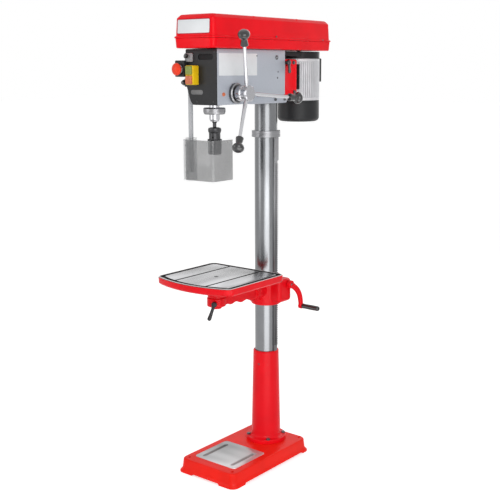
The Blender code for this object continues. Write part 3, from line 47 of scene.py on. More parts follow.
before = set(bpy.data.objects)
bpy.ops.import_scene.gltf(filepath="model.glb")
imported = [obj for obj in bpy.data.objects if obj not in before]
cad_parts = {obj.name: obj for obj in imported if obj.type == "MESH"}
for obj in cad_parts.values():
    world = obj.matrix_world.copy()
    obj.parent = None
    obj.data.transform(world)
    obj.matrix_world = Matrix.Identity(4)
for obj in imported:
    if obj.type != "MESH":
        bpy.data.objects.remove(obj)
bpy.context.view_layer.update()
AXIS = (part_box("column")[0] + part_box("column")[1]) / 2
AXIS.z = 0.0


def span(node):
    """A CAD node's lowest and highest corners, measured from the column's foot."""
    low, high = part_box(node)
    return low - AXIS, high - AXIS


def middle(node):
    low, high = span(node)
    return (low + high) / 2


TOUCH = 0.0003
SPINDLE = middle("spindle")
FEED = middle("depth_ring")
ROD = middle("guard_rod")
MOTOR = middle("fan_cover")
IDLER = middle("idler_pulley")
TABLE_HIGH = span("table")[1]
HEAD_LOW, HEAD_HIGH = span("head_casting")
PANEL_LOW, PANEL_HIGH = span("side_panel")
FRONT_LOW, FRONT_HIGH = span("front_cover")
BASE_LOW, BASE_HIGH = span("base")
COVER_LOW, COVER_HIGH = span("cover_pan")
COLUMN_R = span("column")[1].x
BASE_TOP = span("column_support")[0].z - TOUCH
TILT_Z = middle("tilt_bolt").z
LEVER_ANGLE = math.radians(31)
LEVER_OUT = Vector((math.sin(LEVER_ANGLE), -math.cos(LEVER_ANGLE), 0))
SPOKE_LEAN = math.radians(16)
SPOKE_X, SPOKE_REACH = 0.134, 0.238
SPOKE_ANGLES = (115, 235, 355)
CRANK = Vector((0.104, 0.02, 0.7435))
CRANK_LEAN = math.radians(30.8)
CRANK_THROW = 0.117
COLUMN_CLAMP = Vector((0.02, 0.074, 0.7))
TENSION = Vector((0.072, 0.036, 1.636))
KEY_LOCK = (-0.031, 1.655)
RAIL_X, RAIL_Z = 0.058, 1.58
SLOT_X, GROOVE_X = 0.074, 0.079
ESTOP_Z = 1.61
STEP_H = 0.018
STEPS = (0.034, 0.042, 0.05, 0.058)
PULLEY_LOW = 1.706
COVER_SEAM = 1.721
HINGE_X = COVER_LOW.x - 0.006


# ---------------------------------------------------------------- settings


def colour_setting(name, text, value):
    return FloatVectorProperty(
        name=name, description=text, default=value, min=0.0, max=1.0, size=3, subtype="COLOR"
    )


def length_setting(name, text, value):
    return FloatProperty(name=name, description=text, default=value, min=0.0, max=0.02, unit="LENGTH")


def amount_setting(name, text, value, unit="NONE"):
    return FloatProperty(name=name, description=text, default=value, min=0.0, unit=unit)


def power_setting(name, text, value):
    return amount_setting(name, text, value, "POWER")


def count_setting(name, text, value, least, most):
    return IntProperty(name=name, description=text, default=value, min=least, max=most)


class PressColours(bpy.types.PropertyGroup):
    """Paints and plastics"""

    lid_red: colour_setting("Cover red", "Gloss enamel on the belt cover and rear casting", (0.9, 0.002, 0.01))
    cast_red: colour_setting("Casting red", "Enamel on the support and the table's castings", (0.84, 0.006, 0.014))
    base_red: colour_setting("Base red", "Enamel on the foot", (0.92, 0.016, 0.008))
    panel_grey: colour_setting("Panel grey", "Speckled paint on the head and its panel", (0.43, 0.46, 0.52))
    moulding_black: colour_setting("Moulding black", "Grained black plastic", (0.018, 0.0185, 0.02))
    knob_black: colour_setting("Knob black", "Polished black resin", (0.012, 0.012, 0.013))
    switch_yellow: colour_setting("Switch yellow", "Switch housing", (0.9, 0.58, 0.01))
    start_green: colour_setting("Start green", "Start button", (0.26, 0.31, 0.07))
    stop_red: colour_setting("Stop red", "Stop button", (0.66, 0.19, 0.09))
    mushroom_red: colour_setting("Mushroom red", "Emergency stop button", (0.86, 0.052, 0.016))
    plate_white: colour_setting("Plate white", "Blank plates", (0.75, 0.77, 0.79))
    guard_tint: colour_setting("Guard tint", "Smoked clear plastic of the chuck guard", (0.15, 0.152, 0.156))


class PressSizes(bpy.types.PropertyGroup):
    """Edge roundings and counts"""

    casting_edge: length_setting("Casting edge", "Rounding along the edges of castings", 0.003)
    sheet_edge: length_setting("Sheet edge", "Rounding along the edges of sheet metal", 0.0005)
    moulding_edge: length_setting("Moulding edge", "Rounding along the edges of plastic mouldings", 0.0022)
    plate_thickness: length_setting("Plate thickness", "Thickness of the blank plates", 0.0005)
    motor_ribs: count_setting("Motor ribs", "Upright ribs round the motor", 56, 12, 90)
    chuck_flutes: count_setting("Chuck flutes", "Flutes round the chuck's sleeve", 30, 8, 60)
    fan_slots: count_setting("Fan slots", "Air slots in the fan cover", 16, 4, 32)


class PressStage(bpy.types.PropertyGroup):
    """Light and floor"""

    key_power: power_setting("Key", "Power of the main lamp", 60.0)
    fill_power: power_setting("Fill", "Power of the front lamp", 20.0)
    rear_power: power_setting("Rear", "Power of the rear lamp", 26.0)
    card_power: power_setting("Card", "Power of the low card that the metal reflects", 6.4)
    sky: amount_setting("Sky", "Strength of the even light from all sides", 0.52)
    floor_glow: amount_setting("Floor glow", "How much whiter the eye sees the floor", 0.51)
    floor_colour: colour_setting("Floor", "Colour of the floor", (0.93, 0.93, 0.93))


# ---------------------------------------------------------------- shader maths


class Value:
    """A socket that can be added and multiplied, each adding a Math node."""

    def __init__(self, recipe, socket):
        self.recipe = recipe
        self.socket = socket

    def maths(self, operation, first, second):
        return self.recipe.node("ShaderNodeMath", {"operation": operation}, {0: first, 1: second})

    def __add__(self, other):
        return self.maths("ADD", self, other)

    def __radd__(self, other):
        return self.maths("ADD", other, self)

    def __mul__(self, other):
        return self.maths("MULTIPLY", self, other)

    def __rmul__(self, other):
        return self.maths("MULTIPLY", other, self)


def find_socket(sockets, key):
    if isinstance(key, int):
        return sockets[key]
    for socket in sockets:
        if socket.identifier == key:
            return socket
    return sockets[key]


class Recipe:
    """A tree of nodes, and the one way in which nodes are added to it."""

    def __init__(self, tree):
        self.tree = tree

    def node(self, kind, settings=None, sockets=None, output=0):
        made = self.tree.nodes.new(kind)
        for key, value in (settings or {}).items():
            setattr(made, key, value)
        for key, value in (sockets or {}).items():
            self.feed(find_socket(made.inputs, key), value)
        return None if output is None else Value(self, find_socket(made.outputs, output))

    def feed(self, socket, value):
        if isinstance(value, Value):
            self.tree.links.new(value.socket, socket)
        elif socket.type == "RGBA":
            socket.default_value = (*tuple(value)[:3], 1.0)
        else:
            socket.default_value = value


class Finish(Recipe):
    """A material about one shader, with the patterns that the press's surfaces are made of."""

    def __init__(self, name, roughness=0.5, metallic=0.0, **fixed):
        self.material = bpy.data.materials.new(name)
        self.material.use_nodes = True
        super().__init__(self.material.node_tree)
        self.shader = self.tree.nodes["Principled BSDF"]
        self.set("Roughness", roughness)
        self.set("Metallic", metallic)
        for key, value in fixed.items():
            self.set(key.replace("_", " ").title().replace("Ior", "IOR"), value)
        self.place = self.node("ShaderNodeTexCoord", output="Object")

    def set(self, socket, value):
        self.feed(self.shader.inputs[socket], value)

    def noise(self, scale, detail=2.0, roughness=0.5, stretch=None):
        place = self.place
        if stretch:
            place = self.node("ShaderNodeVectorMath", {"operation": "MULTIPLY"}, {0: place, 1: stretch})
        return self.node(
            "ShaderNodeTexNoise", None, {"Vector": place, "Scale": scale, "Detail": detail, "Roughness": roughness}
        )

    def between(self, factor, low, high):
        """A colour that runs from low to high with the factor."""
        return self.node(
            "ShaderNodeMix",
            {"data_type": "RGBA"},
            {"Factor_Float": factor, "A_Color": low, "B_Color": high},
            "Result_Color",
        )

    def levels(self, value, low, high, to_low=0.0, to_high=1.0):
        return self.node(
            "ShaderNodeMapRange",
            None,
            {"Value": value, "From Min": low, "From Max": high, "To Min": to_low, "To Max": to_high},
        )

    def tones(self, factor, colour, low, high):
        """Lets the colour run from one shade of itself to another with the factor."""
        self.set("Base Color", self.between(factor, shade(colour, low), shade(colour, high)))

    def bump(self, height, distance, strength):
        self.set(
            "Normal",
            self.node("ShaderNodeBump", None, {"Height": height, "Distance": distance, "Strength": strength}),
        )


def shade(colour, amount):
    return tuple(min(1.0, part * amount) for part in colour)


ORANGE_PEEL = 0.00016


def enamel(name, colour, roughness=0.24, cast=False):
    """Stoved gloss paint: a faint orange peel, soft patches of tone, and over a casting its grain."""
    made = Finish(name, coat_weight=0.05, coat_roughness=0.08, specular_ior_level=0.09)
    tone = made.noise(9.0, 2.0)
    made.tones(made.levels(tone, 0.3, 0.7), colour, 0.92, 1.05)
    patches = made.noise(46.0, 3.0)
    made.set("Roughness", roughness - 0.05 + 0.11 * patches)
    height = made.noise(420.0, 1.5)
    if cast:
        height = height + 2.2 * made.noise(120.0, 3.0, 0.6)
    made.bump(height, ORANGE_PEEL * (1.6 if cast else 1.0), 0.55)
    return made.material


def speckled(name, colour):
    """Silver-grey paint with fine metal flakes."""
    made = Finish(name, metallic=0.12, coat_weight=0.25, coat_roughness=0.15)
    flakes = made.node("ShaderNodeTexVoronoi", None, {"Vector": made.place, "Scale": 900.0}, "Color")
    amount = made.node("ShaderNodeSeparateColor", None, {0: flakes})
    tone = made.noise(7.0, 2.0)
    made.tones(amount * 0.6 + tone * 0.4, colour, 0.86, 1.13)
    made.set("Roughness", 0.34 + 0.12 * amount)
    made.bump(made.noise(480.0, 2.0), 0.0001, 0.5)
    return made.material


def moulded(name, colour, roughness=0.42, grain=0.0001):
    """Moulded plastic with a spark-eroded grain."""
    made = Finish(name, specular_ior_level=0.24)
    tone = made.noise(14.0, 2.0)
    made.tones(made.levels(tone, 0.3, 0.7), colour, 0.88, 1.14)
    made.set("Roughness", roughness - 0.05 + 0.12 * made.noise(60.0, 2.0))
    made.bump(made.noise(900.0, 2.0), grain, 0.7)
    return made.material


def polished_resin(name, colour):
    """Pressed black resin with a deep polish and a few hairline scuffs."""
    made = Finish(name, coat_weight=0.8, coat_roughness=0.03, specular_ior_level=0.3)
    scuffs = made.noise(60.0, 4.0, 0.7, stretch=(1.0, 1.0, 9.0))
    made.tones(made.noise(24.0), colour, 1.0, 1.7)
    made.set("Roughness", made.levels(scuffs, 0.35, 0.75, 0.09, 0.26))
    made.bump(scuffs, 0.00005, 0.3)
    return made.material


def turned_steel(name, colour, roughness=0.22, spacing=1400.0, groove=0.00003):
    """Bare steel with fine tool rings about the piece's own Z axis."""
    made = Finish(name, metallic=1.0)
    rings = made.noise(spacing, 2.0, 0.6, stretch=(0.02, 0.02, 1.0))
    stains = made.noise(22.0, 4.0, 0.6)
    made.tones(stains * 0.7 + rings * 0.3, colour, 0.86, 1.1)
    made.set("Roughness", roughness - 0.05 + 0.1 * rings + 0.06 * stains)
    made.bump(rings, groove, 0.6)
    return made.material


def milled_iron(name, colour, stretch=(1.0, 0.03, 1.0), spacing=520.0, roughness=0.24):
    """A machined iron face: cutter lines, with wider light and dark stripes that are partly the face's own tone and
    partly painted reflection.
    """
    made = Finish(name, metallic=0.9)
    lines = made.noise(spacing, 2.0, 0.6, stretch=stretch)
    tone_and_reflection_bands = made.levels(made.noise(9.0, 1.0, 0.5, stretch=tuple(max(part, 0.35) for part in stretch)), 0.3, 0.7)
    # The wide stripes run the colour from a third of itself to one and a half times itself: partly the face's tone,
    # partly painted reflection.
    made.tones(tone_and_reflection_bands * 0.86 + lines * 0.14, colour, 0.34, 1.55)
    made.set("Roughness", roughness - 0.04 + 0.08 * lines + 0.08 * tone_and_reflection_bands)
    made.bump(lines, 0.00004, 0.6)
    return made.material


def raw_casting(name, colour, metallic, roughness):
    """An unpainted or thinly painted casting with a sandy skin."""
    made = Finish(name, metallic=metallic)
    sand = made.noise(300.0, 4.0, 0.65)
    made.tones(made.noise(30.0, 3.0), colour, 0.82, 1.12)
    made.set("Roughness", roughness - 0.06 + 0.14 * sand)
    made.bump(sand, 0.00025, 0.6)
    return made.material


def oiled_steel(name, colour):
    """Blackened steel with a thin film of oil."""
    made = Finish(name, metallic=0.9, coat_weight=0.15, coat_roughness=0.2)
    film = made.noise(40.0, 4.0, 0.6)
    made.tones(film, colour, 0.7, 1.4)
    made.set("Roughness", 0.24 + 0.2 * film)
    made.bump(made.noise(700.0, 2.0), 0.00004, 0.6)
    return made.material


def smoked_sheet(name, colour, density=1.0):
    """Clear plastic with a grey tint and a trace of swarf scratches."""
    made = Finish(name, specular_ior_level=0.6, coat_weight=0.4, coat_roughness=0.05)
    scratches = made.noise(90.0, 5.0, 0.7, stretch=(1.0, 1.0, 5.0))
    haze = made.noise(11.0, 2.0)
    made.tones(haze, colour, 0.9, 1.15)
    made.set("Roughness", made.levels(scratches, 0.4, 0.7, 0.1, 0.26))
    made.set("Alpha", made.levels(haze, 0.2, 0.8, 0.49 * density, 0.59 * density))
    made.bump(scratches, 0.00003, 0.4)
    return made.material


def belt_rubber(name, colour):
    """Rubber with a woven jacket."""
    made = Finish(name)
    weave = made.noise(1500.0, 1.0)
    made.tones(made.noise(60.0, 3.0), colour, 0.8, 2.2)
    made.set("Roughness", 0.62 + 0.22 * weave)
    made.bump(weave, 0.00015, 0.8)
    return made.material


def printed_card(name, colour):
    """A blank coated plate, with a faint mottle in its film."""
    made = Finish(name, coat_weight=0.3, coat_roughness=0.2)
    made.tones(made.noise(35.0, 3.0), colour, 0.95, 1.04)
    made.set("Roughness", 0.34 + 0.14 * made.noise(150.0, 2.0))
    made.bump(made.noise(260.0, 2.0), 0.00005, 0.4)
    return made.material


FINISHES = {}


def mix_finishes(colours):
    """Every finish of the press, by the name that the pieces ask for."""
    recipes = {
        "cover_red": (enamel, colours.lid_red),
        "cast_red": (enamel, colours.cast_red, 0.3, True),
        "base_red": (enamel, colours.base_red, 0.34, True),
        "panel_grey": (speckled, colours.panel_grey),
        "black_moulding": (moulded, colours.moulding_black),
        "black_paint": (enamel, (0.022, 0.022, 0.024), 0.34),
        "black_resin": (polished_resin, colours.knob_black),
        "yellow_moulding": (moulded, colours.switch_yellow, 0.36, 0.00006),
        "green_moulding": (moulded, colours.start_green, 0.34, 0.00005),
        "stop_moulding": (moulded, colours.stop_red, 0.34, 0.00005),
        "mushroom_moulding": (moulded, colours.mushroom_red, 0.3, 0.00004),
        "blank_plate": (printed_card, colours.plate_white),
        "frame_red": (enamel, (0.45, 0.012, 0.03)),
        "column_steel": (turned_steel, (0.2, 0.205, 0.213), 0.2),
        "rack_steel": (milled_iron, (0.3, 0.3, 0.31), (1.0, 1.0, 0.1), 400.0, 0.34),
        "bright_steel": (turned_steel, (0.52, 0.52, 0.54), 0.18, 1100.0),
        "chrome": (turned_steel, (0.54, 0.54, 0.56), 0.12, 800.0, 0.00001),
        "hub_steel": (turned_steel, (0.4, 0.4, 0.42), 0.16, 800.0, 0.00001),
        "dark_steel": (oiled_steel, (0.055, 0.055, 0.058)),
        "screw_steel": (oiled_steel, (0.11, 0.11, 0.115)),
        "table_iron": (milled_iron, (0.52, 0.52, 0.535)),
        # A pale pink finish for the table's rim: partly its bare machined edge, partly a painted highlight.
        "rim_iron": (printed_card, (0.66, 0.6, 0.6)),
        "pad_iron": (milled_iron, (0.46, 0.465, 0.47), (0.03, 1.0, 1.0), 380.0, 0.34),
        "trough_iron": (raw_casting, (0.03, 0.03, 0.031), 0.3, 0.5),
        "collar_alloy": (turned_steel, (0.26, 0.26, 0.27), 0.3, 700.0, 0.00006),
        "motor_alloy": (raw_casting, (0.63, 0.63, 0.65), 0.2, 0.42),
        "pulley_alloy": (turned_steel, (0.5, 0.5, 0.51), 0.3, 600.0, 0.00008),
        "badge_grey": (printed_card, (0.1, 0.1, 0.104)),
        "window_black": (moulded, (0.006, 0.006, 0.007), 0.6),
        "post_grey": (enamel, (0.52, 0.53, 0.55), 0.3),
        "grey_paint": (enamel, (0.33, 0.335, 0.345), 0.32),
        "smoked_sheet": (smoked_sheet, colours.guard_tint),
        # Painted light: a lighter, clearer copy of the guard's sheet, so that its left side looks lit.
        "clear_flap": (smoked_sheet, shade(colours.guard_tint, 3.6), 0.5),
        # Painted highlight: a light grey for the guard sheet's top and bottom edges.
        "sheet_rim": (printed_card, (0.62, 0.63, 0.64)),
        "belt_rubber": (belt_rubber, (0.016, 0.016, 0.017)),
    }
    for name, (recipe, *values) in recipes.items():
        FINISHES[name] = recipe(name, *values)


# ---------------------------------------------------------------- outlines


def arc(across, up, radius, start, end, steps=8):
    turns = [math.radians(start + (end - start) * step / steps) for step in range(steps + 1)]
    return [(across + radius * math.cos(turn), up + radius * math.sin(turn)) for turn in turns]


def rounded(low_x, high_x, low_y, high_y, radius, steps=8):
    left, right, front, rear = low_x + radius, high_x - radius, low_y + radius, high_y - radius
    return (
        arc(right, front, radius, -90, 0, steps)
        + arc(right, rear, radius, 0, 90, steps)
        + arc(left, rear, radius, 90, 180, steps)
        + arc(left, front, radius, 180, 270, steps)
    )


def eased(points, radius, closed=True, steps=4):
    """The same outline with its corners rounded. A point's third number is its own rounding."""
    out = []
    for index, point in enumerate(points):
        here = Vector(point[:2])
        own = point[2] if len(point) > 2 else radius
        inner = closed or 0 < index < len(points) - 1
        back = Vector(points[index - 1][:2]) - here
        ahead = Vector(points[(index + 1) % len(points)][:2]) - here
        turn = math.pi - back.angle(ahead, math.pi)
        if not inner or not own or turn < 0.06:
            out.append(tuple(here))
            continue
        reach = min(own * math.tan(turn / 2), back.length * 0.48, ahead.length * 0.48)
        true = reach / math.tan(turn / 2)
        centre = here + (back.normalized() + ahead.normalized()).normalized() * (true / math.cos(turn / 2))
        start = here + back.normalized() * reach - centre
        end = here + ahead.normalized() * reach - centre
        first = math.atan2(start.y, start.x)
        sweep = (math.atan2(end.y, end.x) - first + math.pi) % (2 * math.pi) - math.pi
        for step in range(steps + 1):
            angle = first + sweep * step / steps
            out.append((centre.x + true * math.cos(angle), centre.y + true * math.sin(angle)))
    return out


PLANES = {
    "XY": lambda across, up, out: (across, up, out),
    "YZ": lambda across, up, out: (out, across, up),
    "XZ": lambda across, up, out: (across, out, up),
}


# ---------------------------------------------------------------- shapes


def piece(name, bm):
    bmesh.ops.recalc_face_normals(bm, faces=bm.faces)
    mesh = bpy.data.meshes.new(name)
    bm.to_mesh(mesh)
    bm.free()
    obj = bpy.data.objects.new(name, mesh)
    bpy.context.scene.collection.objects.link(obj)
    return obj


def skin(name, rings, wrap=False, caps=None):
    """A skin through rings of points with the same count, closed at both ends, or with wrap, joined round
    to its first ring. caps closes a wrapped skin across this ring and the next, and leaves no wall between."""
    bm = bmesh.new()
    loops = [[bm.verts.new(point) for point in ring] for ring in rings]
    pairs, ends = list(zip(loops, loops[1:])), [loops[0][::-1], loops[-1]]
    if wrap:
        pairs.append((loops[-1], loops[0]))
        ends = []
    if caps is not None:
        del pairs[caps]
        ends = loops[caps:caps + 2]
    for lower, upper in pairs:
        for index in range(len(lower)):
            after = (index + 1) % len(lower)
            bm.faces.new((lower[index], lower[after], upper[after], upper[index]))
    for ring in ends:
        bm.faces.new(ring)
    return piece(name, bm)


def level(outline, height):
    return [(across, up, height) for across, up in outline]


def settle(obj):
    """Applies an object's modifiers to its mesh."""
    bpy.context.view_layer.update()
    shown = obj.evaluated_get(bpy.context.evaluated_depsgraph_get())
    mesh = bpy.data.meshes.new_from_object(shown)
    old = obj.data
    obj.modifiers.clear()
    obj.data = mesh
    bpy.data.meshes.remove(old)
    return obj


def soften(obj, width, steps):
    """Rounds the edges that turn by more than 35 degrees."""
    edge = obj.modifiers.new("edge", "BEVEL")
    edge.width = width
    edge.segments = steps
    edge.limit_method = "ANGLE"
    edge.angle_limit = math.radians(35)
    return settle(obj)


def combine(obj, others, operation):
    for other in others:
        change = obj.modifiers.new(other.name, "BOOLEAN")
        change.operation = operation
        change.object = other
        change.solver = "EXACT"
    settle(obj)
    for other in others:
        bpy.data.objects.remove(other, do_unlink=True)
    return obj


def cut(obj, *tools):
    return combine(obj, tools, "DIFFERENCE")


def weld(obj, *others):
    return combine(obj, others, "UNION")


def cast(obj, grain, passes):
    """Blends the welds of a casting, as a pattern maker's fillets do."""
    blend = obj.modifiers.new("blend", "REMESH")
    blend.mode = "VOXEL"
    blend.voxel_size = grain
    smooth = obj.modifiers.new("smooth", "SMOOTH")
    smooth.factor = 0.5
    smooth.iterations = passes
    return settle(obj)


def slab(name, outline, low, high, edge=0.0, plane="XY", steps=3):
    """An outline in one plane, filled from low to high across it, with its edges rounded."""
    to_space = PLANES[plane]
    obj = skin(name, [[to_space(across, up, out) for across, up in outline] for out in (low, high)])
    return soften(obj, edge, steps) if edge else obj


def block(name, low, high, edge=0.0, steps=3):
    outline = [(low[0], low[1]), (high[0], low[1]), (high[0], high[1]), (low[0], high[1])]
    return slab(name, outline, low[2], high[2], edge, steps=steps)


def turned(name, profile, sides, closed=False, flute=None, at=(0, 0, 0)):
    """A piece turned about its own Z axis. A profile point's third number is how many flats it has,
    and flute, given an angle, a radius and a height, returns the radius to use instead."""
    bm = bmesh.new()
    rings = []
    for radius, height, *flats in profile:
        if radius < 1e-6:
            rings.append([bm.verts.new((0, 0, height))])
            continue
        ring = []
        for index in range(sides):
            angle = 2 * math.pi * index / sides
            reach = radius
            if flats:
                part = math.pi / flats[0]
                reach = radius / math.cos((angle + part) % (2 * part) - part)
            elif flute:
                reach = flute(angle, radius, height)
            ring.append(bm.verts.new((reach * math.cos(angle), reach * math.sin(angle), height)))
        rings.append(ring)
    for first, second in list(zip(rings, rings[1:])) + ([(rings[-1], rings[0])] if closed else []):
        for index in range(sides):
            after = (index + 1) % sides
            corners = [first[index % len(first)], first[after % len(first)]]
            corners += [second[after % len(second)], second[index % len(second)]]
            corners = list(dict.fromkeys(corners))
            if len(corners) > 2:
                bm.faces.new(corners)
    obj = piece(name, bm)
    obj.location = at
    return obj


def lathe(name, profile, ease, sides, at=(0, 0, 0), steps=4, flute=None):
    """A turned piece whose corners are eased. A profile that starts off the axis is a closed ring."""
    ring = profile[0][0] > 0
    return turned(name, eased(profile, ease, ring, steps), sides, ring, flute, at)


def on_line(z):
    """A place on the spindle's line."""
    return Vector((0, SPINDLE.y, z))


def compass(degrees):
    """A level direction, measured from +X towards +Y."""
    return Vector((math.cos(math.radians(degrees)), math.sin(math.radians(degrees)), 0))


def ridged(depth, ridges, above, low=-1.0, high=1.0):
    """A flute that draws ridges round a knob where it is wider than a radius, from one height to another."""
    def flute(angle, reach, height):
        return reach - (depth * abs(math.sin(angle * ridges)) if reach > above and low < height < high else 0)

    return flute


def aim(obj, at, direction):
    """Puts a turned piece's foot at a point, with its Z axis along a direction."""
    obj.location = at
    obj.rotation_euler = Vector(direction).to_track_quat("Z", "Y").to_euler()
    return obj


def freeze(obj):
    """Puts an object's place and turn into its mesh."""
    bpy.context.view_layer.update()
    obj.data.transform(obj.matrix_world)
    obj.matrix_world = Matrix.Identity(4)
    return obj


def drum(name, radius, start, end, edge=0.0, sides=64):
    """A round bar between two points."""
    start, end = Vector(start), Vector(end)
    length = (end - start).length
    corners = [(0, 0), (radius, 0), (radius, length), (0, length)]
    return aim(turned(name, eased(corners, edge, False) if edge else corners, sides), start, end - start)


def sweep(name, points, radii, sides=24):
    """A bar along points, with its own radius at each."""
    points = [Vector(point) for point in points]
    rings = []
    turn = None
    for index, point in enumerate(points):
        ahead = (points[min(index + 1, len(points) - 1)] - points[max(index - 1, 0)]).normalized()
        turn = ahead.to_track_quat("Z", "Y") if turn is None else before.rotation_difference(ahead) @ turn
        before = ahead
        ring = []
        for side in range(sides):
            angle = 2 * math.pi * side / sides
            ring.append(point + turn @ (Vector((math.cos(angle), math.sin(angle), 0)) * radii[index]))
        rings.append(ring)
    return skin(name, rings)


def ball(name, radius, centre):
    """A ball, turned from a half circle."""
    profile = [(abs(x), z) for z, x in arc(0, 0, radius, 0, 180, 16)]
    profile[0], profile[-1] = (0, profile[0][1]), (0, profile[-1][1])
    return turned(name, profile, 32, at=centre)


def paint_faces(obj, finish, test):
    """Gives a second finish to the faces whose centre and normal pass the test."""
    obj.data.materials.append(FINISHES[finish])
    index = len(obj.data.materials) - 1
    for face in obj.data.polygons:
        if test(face.center, face.normal):
            face.material_index = index


def fit(obj, body, finish, slot, *nodes, crease=35):
    """Finishes a piece, moves it onto the frame, and hangs it on the body it belongs to."""
    obj.location += AXIS
    mesh = obj.data
    mesh.materials.clear()
    mesh.materials.append(FINISHES[finish])
    mesh.shade_smooth()
    mesh.set_sharp_from_angle(angle=math.radians(crease))
    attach(obj, body)
    if nodes:
        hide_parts(*nodes)
    return obj


# ---------------------------------------------------------------- fixings


def hex_bolt(name, at, direction, across=0.013, height=0.0055):
    """A hexagon head with a chamfered top on a round washer."""
    half, washer = across / 2, 0.0016
    corner = half * 1.155
    profile = [(0, 0), (corner * 1.25, 0), (corner * 1.25, washer), (half, washer + 0.0001, 6)]
    profile += [(half, washer + height - 0.0008, 6), (half * 0.93, washer + height), (0, washer + height)]
    return aim(turned(name, profile, 48), at, direction)


def cap_screw(name, at, direction, radius, height):
    """A round head with a hexagon socket."""
    ease = radius * 0.14
    profile = [(0, 0), (radius, 0), (radius, height - ease), (radius - ease, height)]
    profile += [(radius * 0.5, height, 6), (radius * 0.48, height * 0.35, 6), (0, height * 0.3)]
    return aim(turned(name, profile, 48), at, direction)


def pan_screw(name, at, direction, radius):
    """A domed head with a cross recess."""
    dome = [(0, -0.0004), (radius, -0.0004), (radius, radius * 0.12)]
    dome += [(x, radius * 0.12 + z * 0.4) for x, z in arc(0, 0, radius, 15, 75, 4)]
    head = turned(name, dome + [(0, radius * 0.52)], 40)
    long, narrow, low, high = radius * 0.55, radius * 0.11, radius * 0.25, radius * 0.75
    arms = [block(f"{name}_{x}", (-x, -y, low), (x, y, high)) for x, y in ((long, narrow), (narrow, long))]
    return aim(cut(head, *arms), at, direction)


def fixings(name, kind, rows, body="stand", finish="screw_steel"):
    """Numbered bolts or screws of one kind: each row holds a place, a direction and the sizes."""
    for number, row in enumerate(rows, 1):
        fit(kind(f"{name}_{number}", *row), body, finish, "dark_steel")


# ---------------------------------------------------------------- stand


def make_base(sizes):
    """The hollow foot, with arches under each side, and its machined pad."""
    half, front, rear, top = BASE_HIGH.x, BASE_LOW.y, BASE_HIGH.y, BASE_HIGH.z

    def plan(inset, corner):
        return rounded(-half + inset, half - inset, front + inset, rear - inset, corner)

    def arch(low, high, slant):
        return eased([(low - slant, -0.02), (low, 0.0065), (high, 0.0065), (high + slant, -0.02)], 0.005)

    side = [(0, 0), (0, 0.005, 0.004), (0.0075, 0.0155, 0.02), (0.01, 0.04), (0.0115, BASE_TOP, 0.006)]
    side = eased(side + [(0.03, BASE_TOP)], 0.004, False, 6)
    foot = skin("base_casting", [level(plan(inset, 0.03 - inset * 0.2), height) for inset, height in side])
    inside = ((0.011, -0.01), (0.022, BASE_TOP - 0.011))
    seat = rounded(-0.1065, 0.1065, -0.3385, -0.1385, 0.0145)
    cut(
        foot,
        skin("hollow", [level(plan(inset, 0.018), height) for inset, height in inside]),
        slab("front_arch", arch(-0.07, 0.07, 0.008), front - 0.01, rear + 0.01, plane="XZ"),
        slab("side_arch", arch(-0.32, 0.06, 0.015), -half - 0.01, half + 0.01, plane="YZ"),
        slab("pad_seat", seat, BASE_TOP - 0.002, BASE_TOP + 0.01),
    )
    outline = rounded(-0.106, 0.106, -0.338, -0.139, 0.014)
    pad = slab("base_pad_plate", outline, BASE_TOP - 0.01, top - 0.0001, 0.0006, steps=2)
    for x in (-SLOT_X, SLOT_X):
        outline = rounded(x - 0.0105, x + 0.0105, -0.322, -0.165, 0.0104)
        cut(foot, slab(f"slot_{x}", outline, 0.02, 0.08))
        for y in (-0.359, 0.084):
            at = math.copysign(0.1145, x)
            cut(foot, drum(f"anchor_{y}", 0.0065, (at, y, 0), (at, y, 0.08), sides=40))
        outline = rounded(x - 0.008, x + 0.008, -0.3195, -0.1675, 0.0079)
        cut(pad, slab(f"pad_slot_{x}", outline, 0.02, 0.08))
    fit(foot, "stand", "base_red", "red_paint", "base")
    fit(pad, "stand", "pad_iron", "red_paint")


def make_support(sizes):
    """The flanged tube that holds the column's foot, its bolts and its locking screw."""
    low, high = span("column_support")
    foot, top, neck, bore = low.z, high.z, high.x, COLUMN_R + 0.0004
    shelf = foot + 0.0168
    profile = [(bore, top, 0), (0.0505, top, 0.0008), (0.0534, top - 0.003, 0.003), (0.0538, top - 0.02)]
    profile += [(0.0615, shelf, 0.013), (neck, shelf, 0.0035), (neck, foot, 0.001), (bore, foot, 0)]
    support = lathe("support_casting", profile, 0.001, 128, steps=6)
    fit(support, "stand", "cast_red", "red_paint", "column_support")
    seat = Vector((0, 0, shelf - 0.0004))
    fixings("flange_bolt", hex_bolt, [(seat + compass(angle) * 0.074, (0, 0, 1)) for angle in (45, 135, 225, 315)])
    out = Vector((0.08, -0.997, 0)).normalized()
    screw = cap_screw("support_screw", out * 0.0532 + Vector((0, 0, 0.398)), out, 0.005, 0.0016)
    fit(screw, "stand", "dark_steel", "dark_steel")


def make_column(sizes):
    """The ground column and the ring that holds the rack's upper end."""
    low, high = span("column")
    profile = [(COLUMN_R - 0.005, low.z), (COLUMN_R, low.z), (COLUMN_R, high.z), (COLUMN_R - 0.005, high.z)]
    fit(lathe("column_tube", profile, 0.0008, 160), "stand", "column_steel", "ground_steel", "column")
    low, high = span("rack_collar")
    bore, radius, waist = COLUMN_R + 0.0004, high.x, high.x - 0.0008
    profile = [(bore, low.z), (radius, low.z), (radius, low.z + 0.01, 0.0004), (waist, low.z + 0.011, 0.0004)]
    profile += [(waist, high.z - 0.011, 0.0004), (radius, high.z - 0.01, 0.0004), (radius, high.z), (bore, high.z)]
    fit(lathe("rack_ring", profile, 0.0018, 128), "stand", "collar_alloy", "cast_alloy", "rack_collar")
    out = Vector((0.45, -0.89, 0)).normalized()
    at = out * (radius - 0.003) + Vector((0, 0, (low.z + high.z) / 2))
    fit(cap_screw("ring_screw", at, out, 0.004, 0.0026), "stand", "screw_steel", "dark_steel")


# ---------------------------------------------------------------- table carriage


